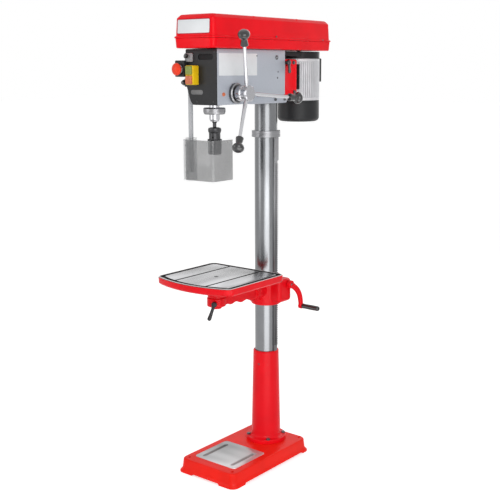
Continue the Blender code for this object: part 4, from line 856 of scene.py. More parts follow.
def make_bracket(sizes):
    """The split casting that slides on the column, with the gear housing on its right."""
    low, high = span("table_bracket")
    profile = [(0, low.z), (0.062, low.z), (0.0632, (low.z + high.z) / 2), (0.062, high.z), (0, high.z)]
    body = lathe("bracket_casting", profile, 0.004, 72)
    weld(
        body,
        drum("boss", 0.0415, (0, 0, TILT_Z), (0, low.y + 0.0005, TILT_Z), 0.002),
        block("housing", (0.029, -0.0355, 0.669), (high.x - 0.0006, 0.0475, 0.7665), 0.015, 5),
        drum("crank_boss", 0.0205, (0.08, *CRANK.yz), (high.x - 0.0004, *CRANK.yz), 0.002),
        block("lugs", (-0.0245, 0.045, 0.6655), (0.0245, high.y - 0.0005, 0.7345), 0.009),
    )
    cast(body, 0.0019, 5)
    rack_low, rack_high = span("rack")
    cut(
        body,
        drum("bore", COLUMN_R + 0.0004, (0, 0, 0.5), (0, 0, 0.9), sides=120),
        block("groove", (0.03, rack_low.y - 0.0006, 0.5), (rack_high.x + 0.0006, rack_high.y + 0.0006, 0.9)),
        block("slit", (-0.003, 0.04, 0.5), (0.003, 0.14, 0.9)),
        block("pocket", (0.051, -0.024, 0.7012), (0.092, 0.032, 0.7608)),
        drum("crank_bore", 0.0079, (0.06, *CRANK.yz), (0.14, *CRANK.yz), sides=40),
        drum("tilt_bore", 0.0081, (0, -0.02, TILT_Z), (0, -0.12, TILT_Z), sides=40),
        drum("clamp_bore", 0.0064, (-0.06, *COLUMN_CLAMP.yz), (0.06, *COLUMN_CLAMP.yz), sides=40),
    )
    fit(body, "table_carriage", "cast_red", "red_paint", "table_bracket", crease=50)
    places = ((-0.024, 0.762), (0.034, 0.695))
    rows = [((high.x - 0.0012, y, z), (1, 0, 0), 0.0035) for y, z in places]
    fixings("housing_screw", pan_screw, rows, "table_carriage")


def make_lever(name, body, foot, direction, screw, hub_r, throw, lean):
    """A clamping lever: its screw, a round hub and a tapered handle with a swollen end."""
    profile = [(0, 0), (0.0059, 0), (0.0059, screw), (hub_r, screw, 0.0018), (hub_r, screw + 0.014, 0.003)]
    hub = lathe(name, profile + [(0, screw + 0.015)], 0.0006, 48)
    end = Vector((throw * math.sin(lean), -throw * math.cos(lean), 0.008))
    points = []
    for share in (0, 0.15, 0.3, 0.5, 0.7, 0.85, 0.96, 1.0):
        points.append(end * share + Vector((0, 0, screw + 0.007 - 0.004 * math.sin(math.pi * share))))
    handle = sweep(f"{name}_handle", points, (0.0072, 0.0066, 0.0062, 0.0062, 0.0068, 0.0076, 0.0078, 0.006))
    weld(hub, handle, ball(f"{name}_tip", 0.008, end + Vector((0, 0, screw + 0.007))))
    cast(hub, 0.0011, 4)
    fit(aim(hub, foot, direction), body, "black_moulding", "black_paint", f"{body}_lever", crease=60)


def make_clamps(sizes):
    """The levers that lock the table's stem and the bracket."""
    start, lean = on_line(TILT_Z) + LEVER_OUT * 0.022, math.radians(-18)
    make_lever("table_lock_lever", "table_clamp", start, LEVER_OUT, 0.0215, 0.0108, 0.058, lean)
    lean = math.radians(20)
    make_lever("column_lock_lever", "column_clamp", COLUMN_CLAMP, (-1, 0, 0), 0.047, 0.0105, 0.073, lean)


def make_crank(sizes):
    """The curved crank, its pin and its loose grip."""
    end = Vector((0.018, CRANK_THROW * math.sin(CRANK_LEAN), -CRANK_THROW * math.cos(CRANK_LEAN)))
    points, radii = [], []
    for step in range(17):
        share = step / 16
        swell = math.sin(math.pi * share)
        straight = Vector((0.01 + (end.x - 0.01) * share, end.y * share, end.z * share))
        points.append(straight + Vector((0.004, 0.013, 0.01)) * swell)
        radii.append(0.0128 - 0.003 * share)
    arm = sweep("crank_casting", points, radii, 28)
    weld(
        arm,
        drum("hub", 0.0165, (0.0008, 0, 0), (0.0163, 0, 0), 0.002),
        drum("eye", 0.0122, end - Vector((0.0068, 0, 0)), end + Vector((0.0068, 0, 0)), 0.0015),
    )
    cast(arm, 0.0012, 4)
    weld(arm, drum("shaft", 0.0074, (-0.044, 0, 0), (0.002, 0, 0), sides=48))
    arm.location = CRANK
    fit(arm, "crank", "cast_red", "red_paint", "crank_arm", crease=55)
    nut = cap_screw("crank_screw", CRANK + Vector((0.016, 0, 0)), (1, 0, 0), 0.0065, 0.0035)
    fit(nut, "crank", "screw_steel", "dark_steel")
    pin = drum("crank_pin", 0.0039, CRANK + end, CRANK + end + Vector((0.0798, 0, 0)), 0.0008, 40)
    fit(pin, "crank", "bright_steel", "bright_steel")
    low, high = span("crank_grip")
    length, radius = high.x - low.x, (high.z - low.z) / 2 + 0.0024
    profile = [(0.0043, 0), (radius * 0.8, 0, 0.0012), (radius * 0.98, 0.004, 0.003), (radius * 0.93, 0.016, 0.01)]
    profile += [(radius, length * 0.55, 0.03), (radius * 0.96, length - 0.012, 0.006)]
    profile += [(radius, length - 0.006, 0.003), (radius * 0.82, length, 0.002), (0.0043, length)]
    grip = lathe("grip_sleeve", profile, 0.0006, 56, steps=5)
    aim(grip, (low.x, *middle("crank_grip").yz), (1, 0, 0))
    fit(grip, "crank_grip", "black_resin", "black_plastic", "crank_grip")


# ---------------------------------------------------------------- table


def make_arm(sizes):
    """The hollow arm that carries the table's stem."""
    rear, ring_rear, centre = span("table_arm")[1].y, SPINDLE.y + 0.037, on_line(TILT_Z)
    outline = [(ring_rear - 0.02, 0.707)]
    for step in range(17):
        share = step / 16
        wave = 0.004 * math.sin(share * 5.5 * math.pi)
        outline.append((ring_rear + 0.004 + (rear - 0.014 - ring_rear) * share, 0.7055 - 0.012 * share - wave))
    outline += [(rear - 0.001, 0.69), (rear - 0.001, 0.752), (ring_rear + 0.008, 0.742)]
    outline += [(ring_rear - 0.001, 0.737), (ring_rear - 0.02, 0.7365)]
    arm = slab("arm_casting", outline, -0.0295, 0.0295, 0.004, "YZ")
    weld(
        arm,
        drum("flange", 0.0416, (0, rear - 0.012, TILT_Z), (0, rear - 0.0003, TILT_Z), 0.0015),
        lathe("ring", [(0, 0.7035), (0.0368, 0.7035), (0.0368, 0.7375), (0, 0.7375)], 0.002, 72, on_line(0)),
        drum("spot", 0.0105, centre + LEVER_OUT * 0.0265, centre + LEVER_OUT * 0.0418, 0.001),
    )
    cast(arm, 0.0018, 4)
    cut(
        arm,
        block("channel", (-0.022, ring_rear + 0.006, 0.66), (0.022, rear - 0.012, 0.736)),
        drum("stem_bore", 0.0214, on_line(0.6), on_line(0.9), sides=96),
        drum("bolt_bore", 0.0084, (0, rear - 0.05, TILT_Z), (0, rear + 0.02, TILT_Z), sides=40),
        drum("screw_bore", 0.0064, centre, centre + LEVER_OUT * 0.08, sides=40),
    )
    fit(arm, "table_arm", "cast_red", "red_paint", "table_arm", crease=50)


def table_outline(inset, corner):
    """Square at the back, with a bowed front edge."""
    half, rear, front, bow = TABLE_HIGH.x - inset, TABLE_HIGH.y - inset, -0.455, 0.033
    side_front = front + inset + corner
    chord = half - corner * 0.55
    shares = [-1 + step / 12 for step in range(25)]
    outline = [(share * chord, front + inset - bow * (1 - share * share)) for share in shares]
    outline += arc(half - corner, side_front, corner, -30, 0, 5) + arc(half - corner, rear - corner, corner, 0, 90)
    outline += arc(corner - half, rear - corner, corner, 90, 180)
    return outline + arc(corner - half, side_front, corner, 180, 210, 5)


def make_table(sizes):
    """The work table: red casting, dark coolant trough and grooves, machined face."""
    top = TABLE_HIGH.z
    thick, rim, trough = 0.03, 0.0058, 0.017
    side = eased([(0.006, -thick), (0.0012, -thick + 0.006), (0, -0.002), (0.0012, 0), (0.004, 0)], 0.0018, False, 5)
    table = skin("table_casting", [level(table_outline(inset, 0.026), top + height) for inset, height in side])
    hollow = slab("hollow", table_outline(0.018, 0.014), top - thick - 0.01, top - 0.02)
    walls = ((rim + 0.0015, top - 0.007), (rim, top + 0.01))
    pocket = skin("pocket", [level(table_outline(inset, 0.02), height) for inset, height in walls])
    shape = [(0, top - 0.015), (0.05, top - 0.015), (0.05, top - 0.036, 0.004), (0.036, top - 0.046, 0.006)]
    shape += [(0.034, 0.7386, 0.001), (0.0208, 0.7386, 0.001), (0.0208, 0.6935, 0.002), (0, 0.6935)]
    stem = lathe("stem", shape, 0.001, 96, on_line(0), steps=5)
    ribs = []
    for angle in (40, 140, 220, 320):
        run, across = compass(angle), compass(angle + 90) * 0.004
        plan = ((0.03, 1, 0.012), (0.03, -1, 0.012), (0.15, -1, 0.004), (0.15, 1, 0.004))
        corners = [(run * reach + across * side + on_line(top - 0.02), deep) for reach, side, deep in plan]
        low = [corner - Vector((0, 0, deep)) for corner, deep in corners]
        ribs.append(skin(f"rib_{angle}", [low, [corner + Vector((0, 0, 0.004)) for corner, _ in corners]]))
    cut(table, hollow, pocket)
    weld(table, stem, *ribs)
    cut(table, drum("hole", 0.0085, on_line(0.6), on_line(0.9), sides=48))
    fit(table, "table", "cast_red", "red_paint", "table")

    def in_trough(place, normal):
        inside = abs(place.x) < TABLE_HIGH.x - 0.004 and place.y < TABLE_HIGH.y - 0.004
        return inside and top - 0.0074 < place.z < top - 0.0001

    paint_faces(table, "trough_iron", in_trough)
    # The rim's top faces get the pale finish: partly bare iron, partly a painted highlight along the edge.
    paint_faces(table, "rim_iron", lambda place, normal: place.z > top - 0.0012 and normal.z > 0.45)
    island = slab("table_face", table_outline(rim + trough, 0.014), top - 0.0069, top - 0.0001, 0.0006, steps=2)
    for x in (-GROOVE_X, GROOVE_X):
        cut(island, block(f"groove_{x}", (x - 0.005, -0.52, top - 0.005), (x + 0.005, -0.08, top + 0.01)))
    profile = [(0, -0.02), (0.0088, -0.02), (0.0088, -0.0015), (0.0115, 0.002), (0, 0.002)]
    cut(island, turned("countersink", profile, 56, at=on_line(top)))
    fit(island, "table", "table_iron", "ground_steel")
    paint_faces(island, "trough_iron", lambda place, normal: place.z < top - 0.0012)


# ---------------------------------------------------------------- head


def make_head(sizes):
    """The head, with the bores for the quill, the feed shaft and the column, and the red casting behind it."""
    front, rear, low, step_low, top = FRONT_HIGH.y + TOUCH, PANEL_HIGH.y, HEAD_LOW.z + 0.003, 1.508, HEAD_HIGH.z
    outline = [(front, low), (-0.18, low), (-0.16, step_low), (rear, step_low), (rear, top), (front, top)]
    head = slab("head_shell", outline, HEAD_LOW.x, PANEL_LOW.x - TOUCH, sizes.casting_edge, "YZ")
    weld(head, block("clamp", (-0.062, -0.163, 1.478), (0.062, 0.06, 1.528), 0.006))
    cut(
        head,
        drum("column_bore", COLUMN_R + 0.0004, (0, 0, 1.4), (0, 0, span("column")[1].z + TOUCH), sides=120),
        drum("quill_bore", 0.0199, on_line(1.4), on_line(1.7), sides=72),
        drum("pulley_seat", 0.025, on_line(1.658), on_line(1.7), sides=72),
        drum("feed_bore", 0.0148, (-0.009, *FEED.yz), (0.1, *FEED.yz), sides=56),
        drum("shaft_bore", 0.0085, (-0.1, *FEED.yz), (0.05, *FEED.yz), sides=40),
        block("hollow", (-0.066, -0.244, 1.53), (0.066, -0.068, 1.7)),
        drum("idler_bore", 0.009, (0, IDLER.y, 1.66), (0, IDLER.y, 1.72), sides=40),
    )
    fit(head, "stand", "panel_grey", "silver_paint", "head_casting")
    near, far = rear + 0.0006, HEAD_HIGH.y
    tail = block("rear_casting", (-0.072, near, 1.51), (0.072, far, 1.649), 0.006)
    for x in (0.0705, -0.08):
        cut(tail, block(f"recess_{x}", (x, near + 0.0134, 1.528), (x + 0.0095, far - 0.012, 1.619), 0.004))
    cut(
        tail,
        drum("lever_bore", 0.0064, (0.05, *TENSION.yz), (0.08, *TENSION.yz), sides=40),
        block("well", (-0.042, 0.058, 1.524), (0.042, 0.102, 1.7), 0.003),
        drum("column_bore", COLUMN_R + 0.0004, (0, 0, 1.4), (0, 0, 1.7), sides=120),
        *[drum(f"rail_{x}", 0.0081, (x, 0.05, RAIL_Z), (x, 0.13, RAIL_Z), sides=40) for x in (-RAIL_X, RAIL_X)],
    )
    fit(tail, "stand", "cover_red", "red_paint")
    places = ((0.086, 1.636), (0.092, 1.52))
    fixings("rear_bolt", hex_bolt, [((0.0718, y, z), (1, 0, 0), 0.011, 0.0045) for y, z in places])
    fixings("clamp_screw", cap_screw, [((0.0615, y, 1.4925), (1, 0, 0), 0.0055, 0.005) for y in (-0.02, 0.04)])


def make_side_panel(sizes):
    """The sheet panel on the operator's right, its blank plate, its lock and its screws."""
    low, high = PANEL_LOW, PANEL_HIGH
    outline = [(low.y, low.z), (-0.18, low.z), (-0.16, 1.512), (high.y, 1.512), (high.y, high.z), (low.y, high.z)]
    panel = slab("panel_sheet", eased(outline, 0.003), low.x, high.x, sizes.sheet_edge, "YZ", 2)
    cut(panel, drum("hole", 0.02, (0.05, *FEED.yz), (0.09, *FEED.yz)))
    fit(panel, "stand", "panel_grey", "silver_paint", "side_panel")
    face, out = high.x - 0.0001, (1, 0, 0)
    outline = rounded(-0.375, -0.154, 1.587, 1.668, 0.003)
    plate = slab("side_plate", outline, face, face + sizes.plate_thickness, 0.0002, "YZ", 2)
    fit(plate, "stand", "blank_plate", "silver_paint")
    places = ((-0.022, 1.6, 0.003), (-0.025, 1.577, 0.0036), (-0.3, 1.555, 0.0028), (-0.155, 1.66, 0.003))
    fixings("panel_screw", pan_screw, [((face, y, z), out, radius) for y, z, radius in places])
    profile = [(0.0042, 0), (0.0088, 0), (0.0088, 0.0012, 0.0006), (0.0062, 0.003, 0.0008), (0.0042, 0.003)]
    ring = aim(lathe("key_ring", profile, 0.0003, 56), (face, *KEY_LOCK), out)
    fit(ring, "stand", "screw_steel", "dark_steel")
    profile = [(0, 0), (0.0041, 0), (0.0022, 0.0026, 6), (0.0021, 0.0012, 6), (0, 0.0012)]
    core = aim(turned("key_core", profile, 48), (face, *KEY_LOCK), out)
    fit(core, "stand", "bright_steel", "bright_steel")
    stop = hex_bolt("stop_bolt", (face, -0.35, 1.5195), out, 0.01, 0.004)
    fit(stop, "stand", "stop_moulding", "red_plastic")


def make_front_cover(sizes):
    """The moulded front cover with its scale window, blank badge plate and control bracket."""
    left, right, top, low = FRONT_LOW.x, FRONT_HIGH.x, FRONT_HIGH.z, FRONT_LOW.z
    front, back = FRONT_LOW.y, FRONT_HIGH.y
    outline = [(left, top, 0.006), (right, top, 0.002), (right, low, 0.002), (left + 0.034, low, 0.008)]
    outline += [(left + 0.022, low + 0.013, 0.01), (left + 0.002, 1.552, 0.03)]
    cover = slab("front_moulding", eased(outline, 0.006, steps=6), front, back, sizes.moulding_edge, "XZ")
    outline = rounded(-0.0143, 0.0587, 1.644, 1.665, 0.0095)
    cut(cover, slab("window", outline, front - 0.01, front + 0.004, plane="XZ"))
    fit(cover, "stand", "black_moulding", "black_plastic", "front_cover")
    outline = rounded(-0.014, 0.0584, 1.6443, 1.6647, 0.0092)
    glass = slab("window_glass", outline, front + 0.0016, front + 0.0039, 0.0005, "XZ", 2)
    fit(glass, "stand", "window_black", "black_plastic")
    outline = rounded(-0.0516, 0.0079, 1.518, 1.535, 0.0084)
    badge = slab("badge_plate", outline, front - sizes.plate_thickness, front + 0.0001, 0.0003, "XZ", 2)
    fit(badge, "stand", "badge_grey", "silver_paint")
    places = ((-0.022, 1.493), (0.058, 1.493), (0.064, 1.672))
    rows = [((x, front + 0.0002, z), (0, -1, 0), 0.0036) for x, z in places]
    fixings("cover_screw", pan_screw, rows, finish="dark_steel")
    outline = eased([(-0.0755, 1.637), (-0.0385, 1.637), (-0.0385, 1.668), (-0.0755, 1.668)], 0.004)
    bracket = slab("control_bracket", outline, front - 0.006, front + 0.0001, 0.0012, "XZ")
    fit(bracket, "stand", "grey_paint", "silver_paint")
    profile = [(0, 0), (0.0042, 0), (0.0042, 0.004), (0.0088, 0.004, 0.001), (0.0088, 0.0135, 0.002), (0, 0.0145)]
    knob = lathe("thumb_screw", profile, 0.0005, 72, flute=ridged(0.0009, 9, 0.008))
    fit(aim(knob, (-0.06, front - 0.006, 1.656), (-0.35, -1, 0.25)), "stand", "black_resin", "black_plastic")


def make_controls(sizes):
    """The switch housing and its two keys, and the emergency stop."""
    low, high = span("switch_housing")
    housing = block("switch_shell", low, high, 0.0032, 4)
    gap = Vector((0.0005, 0, 0.0005))
    keys = (("start", "green_moulding", "green_plastic"), ("stop", "stop_moulding", "red_plastic"))
    for name, finish, slot in keys:
        key_low, key_high = span(f"{name}_button")
        pocket_low, pocket_high = key_low - gap, key_high + gap
        pocket_low.y, pocket_high.y = low.y - 0.01, low.y + 0.0185
        cut(housing, block(f"{name}_pocket", pocket_low, pocket_high))
        key = block(f"{name}_key", key_low, key_high, 0.0018, 4)
        dish = turned(f"{name}_dish", [(0, -0.001), (0.0096, -0.001), (0.008, 0.0009), (0, 0.0009)], 48)
        at = (key_low + key_high) / 2
        at.y = key_low.y
        cut(key, aim(dish, at, (0, 1, 0)))
        fit(key, f"{name}_button", finish, slot, f"{name}_button")
    fit(housing, "stand", "yellow_moulding", "yellow_plastic", "switch_housing")
    low, high = span("estop_box")
    shell = block("stop_box_shell", low, high, 0.0035, 4)
    centre = Vector((middle("estop_button").x, low.y, ESTOP_Z))
    cut(
        shell,
        block("corner", (FRONT_LOW.x - TOUCH, FRONT_LOW.y - TOUCH, 1.5), (0.1, 0.0, 1.7)),
        drum("bore", 0.0089, centre, centre + Vector((0, 0.013, 0)), sides=48),
    )
    fit(shell, "stand", "black_moulding", "black_plastic", "estop_box")
    profile = [(0.009, 0), (0.0165, 0), (0.0165, 0.0022, 0.001), (0.015, 0.003, 0.001), (0.009, 0.003)]
    collar = aim(lathe("stop_collar", profile, 0.0003, 64), centre + Vector((0, 0.0001, 0)), (0, -1, 0))
    fit(collar, "stand", "grey_paint", "silver_paint")
    dome = [(0, 0.0258)] + [(x, z) for x, z in arc(0, -0.0085, 0.0343, 84, 50, 8)]
    dome += [(0.0225, 0.014), (0.0205, 0.0105), (0.0082, 0.01), (0.0082, -0.006), (0, -0.006)]
    button = aim(lathe("mushroom_head", dome, 0.0012, 96), centre, (0, -1, 0))
    fit(button, "estop_button", "mushroom_moulding", "red_plastic", "estop_button")


# ---------------------------------------------------------------- quill and chuck


def make_quill(sizes):
    """The quill with its rack teeth, and the split collar that holds the stop."""
    low, high = span("quill")
    radius, step, seat = (high.x - low.x) / 2, low.z + 0.0015, low.z + 0.015
    profile = [(radius, high.z), (radius, low.z + 0.008), (radius - 0.004, low.z), (0.0142, low.z), (0.0142, step, 0)]
    profile += [(0.0166, step, 0), (0.0166, seat, 0), (0.0115, seat, 0), (0.0115, high.z)]
    quill = lathe("quill_sleeve", profile, 0.0008, 96, on_line(0))
    module, line = 0.002, SPINDLE.y + radius - 0.0019
    pitch, lean = math.pi * module, math.tan(math.radians(20))
    root, tip = line - 1.2 * module, line + 0.006
    half_root, half_tip = 0.6 * pitch / 2 - 1.2 * module * lean, 0.6 * pitch / 2 + 0.0012 * lean
    spaces = []
    for count in range(-2, 16):
        z = FEED.z + count * pitch
        space = [(root, z - half_root), (tip, z - half_tip), (tip, z + half_tip), (root, z + half_root)]
        spaces.append(slab(f"space_{count}", space, -0.0085, 0.0085, plane="YZ"))
    cut(quill, *spaces)
    fit(quill, "quill", "bright_steel", "bright_steel", "quill")
    low, high = span("quill_collar")
    radius, tall = high.x, high.z - low.z
    profile = [(0.0199, 0), (radius - 0.004, 0, 0.002), (radius - 0.002, 0.004, 0.002), (radius, 0.009)]
    profile += [(radius, 0.0215, 0.003), (radius - 0.003, tall, 0.002), (0.0199, tall)]
    collar = lathe("quill_ring", profile, 0.0008, 96, on_line(low.z))
    cut(collar, block("split", (-0.0012, -radius - 0.01, -0.01), (0.0012, -0.018, 0.04)))
    fit(collar, "quill", "collar_alloy", "cast_alloy", "quill_collar")
    seat = on_line(low.z + 0.0135)
    rows = [(seat + out * (radius - 0.0024), out, 0.0042, 0.0022) for out in (compass(-62), compass(-118))]
    fixings("collar_screw", cap_screw, rows, "quill")


def make_spindle(sizes):
    """The spindle, and the keyed chuck with its sleeve and jaws."""
    low, high = span("spindle")
    profile = [(0, high.z), (0.0095, high.z, 0.001), (0.0095, 1.414, 0.0005), (0.007, 1.411), (0.0064, low.z)]
    spindle = lathe("spindle_shaft", profile + [(0, low.z)], 0.0004, 64, on_line(0))
    fit(spindle, "spindle", "dark_steel", "dark_steel", "spindle")
    low, high = span("chuck_body")
    top, split, foot, core = high.z, 1.3523, low.z + 0.0002, 0.0228
    profile = [(0, 1.3685, 0), (0.0074, 1.3685, 0), (0.0074, top), (0.015, top, 0.001), (0.0238, top - 0.003, 0.002)]
    profile += [(0.0253, top - 0.009, 0.002), (0.0243, top - 0.017, 0.002), (0.0217, top - 0.022, 0.001)]
    profile += [(0.0217, split, 0.0004), (core, split, 0.0002), (core, foot), (core - 0.0013, foot, 0.0002)]
    profile += [(core - 0.0013, split - 0.002, 0), (0, split - 0.002, 0)]
    chuck = lathe("chuck_core", profile, 0.0006, 96, on_line(0))
    for number in range(3):
        seat, out = on_line(1.3585), compass(-70 + 120 * number)
        cut(chuck, drum(f"key_hole_{number}", 0.0035, seat + out * 0.014, seat + out * 0.03, sides=32))
    fit(chuck, "spindle", "dark_steel", "dark_steel", "chuck_body")
    low, high = span("chuck_sleeve")
    top, foot, radius, bore = high.z, low.z, 0.0256, core + 0.0003
    lip, waist = radius + 0.0016, radius - 0.0002

    def flute(angle, reach, height):
        if reach < radius - 0.0004:
            return reach
        if height > top - 0.0085:
            return reach - 0.0016 * max(0.0, math.cos(angle * 40)) ** 0.5
        if foot + 0.012 < height < top - 0.011:
            return reach - 0.0013 * abs(math.cos(angle * sizes.chuck_flutes / 2)) ** 3
        return reach

    profile = [(bore, top), (radius + 0.001, top), (lip, top - 0.0015), (lip, top - 0.008)]
    profile += [(radius + 0.0006, top - 0.0095), (waist, top - 0.01), (waist, top - 0.0115), (radius, top - 0.0125)]
    profile += [(radius, foot + 0.012), (waist, foot + 0.0108), (radius - 0.0003, foot + 0.006)]
    profile += [(radius - 0.0016, foot + 0.0012), (bore, foot)]
    sleeve = turned("sleeve_shell", profile, 320, True, flute, on_line(0))
    fit(sleeve, "chuck_sleeve", "dark_steel", "dark_steel", "chuck_sleeve")
    lean, tip = math.radians(12), 0.0042 * 2 / math.sqrt(3) + 0.0012
    profile = [(0, 0), (0.0031, 0, 0.0006), (0.0041, 0.0298), (0, 0.0298)]
    for number in (1, 2, 3):
        body, out = f"chuck_jaw_{number}", compass(120 * number - 90)
        jaw = lathe(f"jaw_{number}", profile, 0.0004, 32)
        aim(jaw, on_line(1.292) + out * tip, out * math.sin(lean) + Vector((0, 0, math.cos(lean))))
        fit(jaw, body, "bright_steel", "bright_steel", body)


# ---------------------------------------------------------------- feed


def make_feed(sizes):
    """The feed hub, its three spokes with knobs, the depth ring and the return spring's cap."""
    base, face = (end.x for end in span("feed_hub"))
    bore, tall, waist = 0.0083, face - base, SPOKE_X - base
    profile = [(0, tall), (0.0245, tall, 0.001), (0.029, tall - 0.003, 0.002), (0.029, tall - 0.012, 0.002)]
    profile += [(0.025, tall - 0.016, 0.002), (0.025, waist - 0.012, 0.002), (0.029, waist - 0.016, 0.002)]
    profile += [(0.029, 0.0175, 0.002), (0.02, 0.016, 0.001), (0.02, 0, 0.0004), (bore, 0, 0)]
    profile += [(bore, tall - 0.012, 0), (0, tall - 0.012, 0)]
    hub = aim(lathe("hub_boss", profile, 0.001, 96), (base, *FEED.yz), (1, 0, 0))
    centre, ways = Vector((SPOKE_X, *FEED.yz)), []
    for degrees in SPOKE_ANGLES:
        across, up = compass(degrees).xy * math.cos(SPOKE_LEAN)
        ways.append(Vector((math.sin(SPOKE_LEAN), across, up)))
        cut(hub, drum("spoke_bore", 0.0063, centre + ways[-1] * 0.017, centre + ways[-1] * 0.05, sides=40))
    fit(hub, "feed", "hub_steel", "bright_steel", "feed_hub")
    cap = lathe("hub_cap", [(0, -0.002), (0.015, -0.002), (0.015, -0.0002), (0, -0.0002)], 0.0006, 64)
    fit(aim(cap, (face, *FEED.yz), (1, 0, 0)), "feed", "collar_alloy", "cast_alloy")
    seat, end = 0.0175, SPOKE_REACH - 0.01
    bar = [(0, seat), (0.006, seat, 0), (0.006, 0.034, 0.001), (0.0078, 0.05, 0.02), (0.0066, 0.12, 0.05)]
    bar += [(0.0063, end - 0.03, 0.002), (0.0046, end - 0.028, 0.001), (0.004, end), (0, end)]
    shape = [(0, 0.0165), (0.011, 0.0152, 0.01), (0.0195, 0.009, 0.012), (0.0233, 0, 0.014)]
    shape += [(0.0195, -0.009, 0.012), (0.0125, -0.0148, 0.004), (0.0115, -0.02, 0.006)]
    shape += [(0.0153, -0.0425, 0.002), (0.0075, -0.0425, 0.0006), (0.0075, -0.0095, 0), (0, -0.0095)]
    for number, way in enumerate(ways, 1):
        spoke = aim(lathe(f"spoke_{number}", bar, 0.0006, 48, steps=6), centre, way)
        fit(spoke, "feed", "chrome", "bright_steel", f"feed_spoke_{number}")
        knob = freeze(aim(lathe(f"knob_{number}", shape, 0.001, 72, steps=6), centre + way * SPOKE_REACH, way))
        fit(knob, "feed", "black_resin", "black_plastic", f"feed_knob_{number}")
    low, high = span("depth_ring")
    radius, width = high.z - FEED.z, high.x - low.x
    profile = [(0.0205, 0), (radius - 0.001, 0), (radius, 0.001, 0.0005), (radius, width - 0.0035, 0.0008)]
    profile += [(radius - 0.0035, width, 0.0008), (0.0305, width, 0.0004), (0.029, width - 0.0012, 0.0004)]
    flute = ridged(0.0005, 45, radius - 0.0002, 0.002, width - 0.004)
    ring = lathe("depth_collar", profile + [(0.0205, width - 0.0012)], 0.0004, 180, flute=flute)
    fit(aim(ring, (low.x, *FEED.yz), (1, 0, 0)), "depth_ring", "screw_steel", "dark_steel", "depth_ring")

    def on_bevel(place, normal):
        return place.z > width - 0.0034 and math.hypot(place.x, place.y) > radius - 0.0042

    paint_faces(ring, "collar_alloy", on_bevel)
    out = Vector((0, 0.55, 0.83)).normalized()
    at = Vector((low.x + 0.0065, *FEED.yz)) + out * (radius - 0.004)
    fit(cap_screw("ring_lock_screw", at, out, 0.0036, 0.0036), "depth_ring", "screw_steel", "dark_steel")

    def grooves(angle, reach, height):
        return reach - (0.001 * max(0.0, math.cos(angle * 24)) if reach > 0.0305 and height < 0.02 else 0)

    profile = [(0, 0.0258), (0.011, 0.0258, 0), (0.012, 0.0244, 0), (0.02, 0.0244, 0), (0.021, 0.0258, 0)]
    profile += [(0.0285, 0.0258, 0.003), (0.0308, 0.0235, 0.002), (0.0308, 0), (0.029, 0), (0.029, 0.0232)]
    cap = lathe("spring_housing", profile + [(0, 0.0232)], 0.0005, 144, flute=grooves)
    aim(cap, (span("spring_cap")[1].x, *FEED.yz), (-1, 0, 0))
    fit(cap, "stand", "black_moulding", "black_plastic", "spring_cap")


# ---------------------------------------------------------------- belt cover and drive


def cover_outline(inset):
    """The belt cover's outline in plan, brought in by an inset."""
    (left, front), (right, rear) = COVER_LOW.xy, COVER_HIGH.xy
    corner = max(0.022 - inset * 0.4, 0.008)
    return rounded(left + inset, right - inset, front + inset, rear - inset, corner, 10)


def hinge_bar(name, radius, near, far, ease=0.0, sides=24):
    """A round bar along the hinge's line."""
    return drum(name, radius, (HINGE_X, near, COVER_SEAM), (HINGE_X, far, COVER_SEAM), ease, sides)


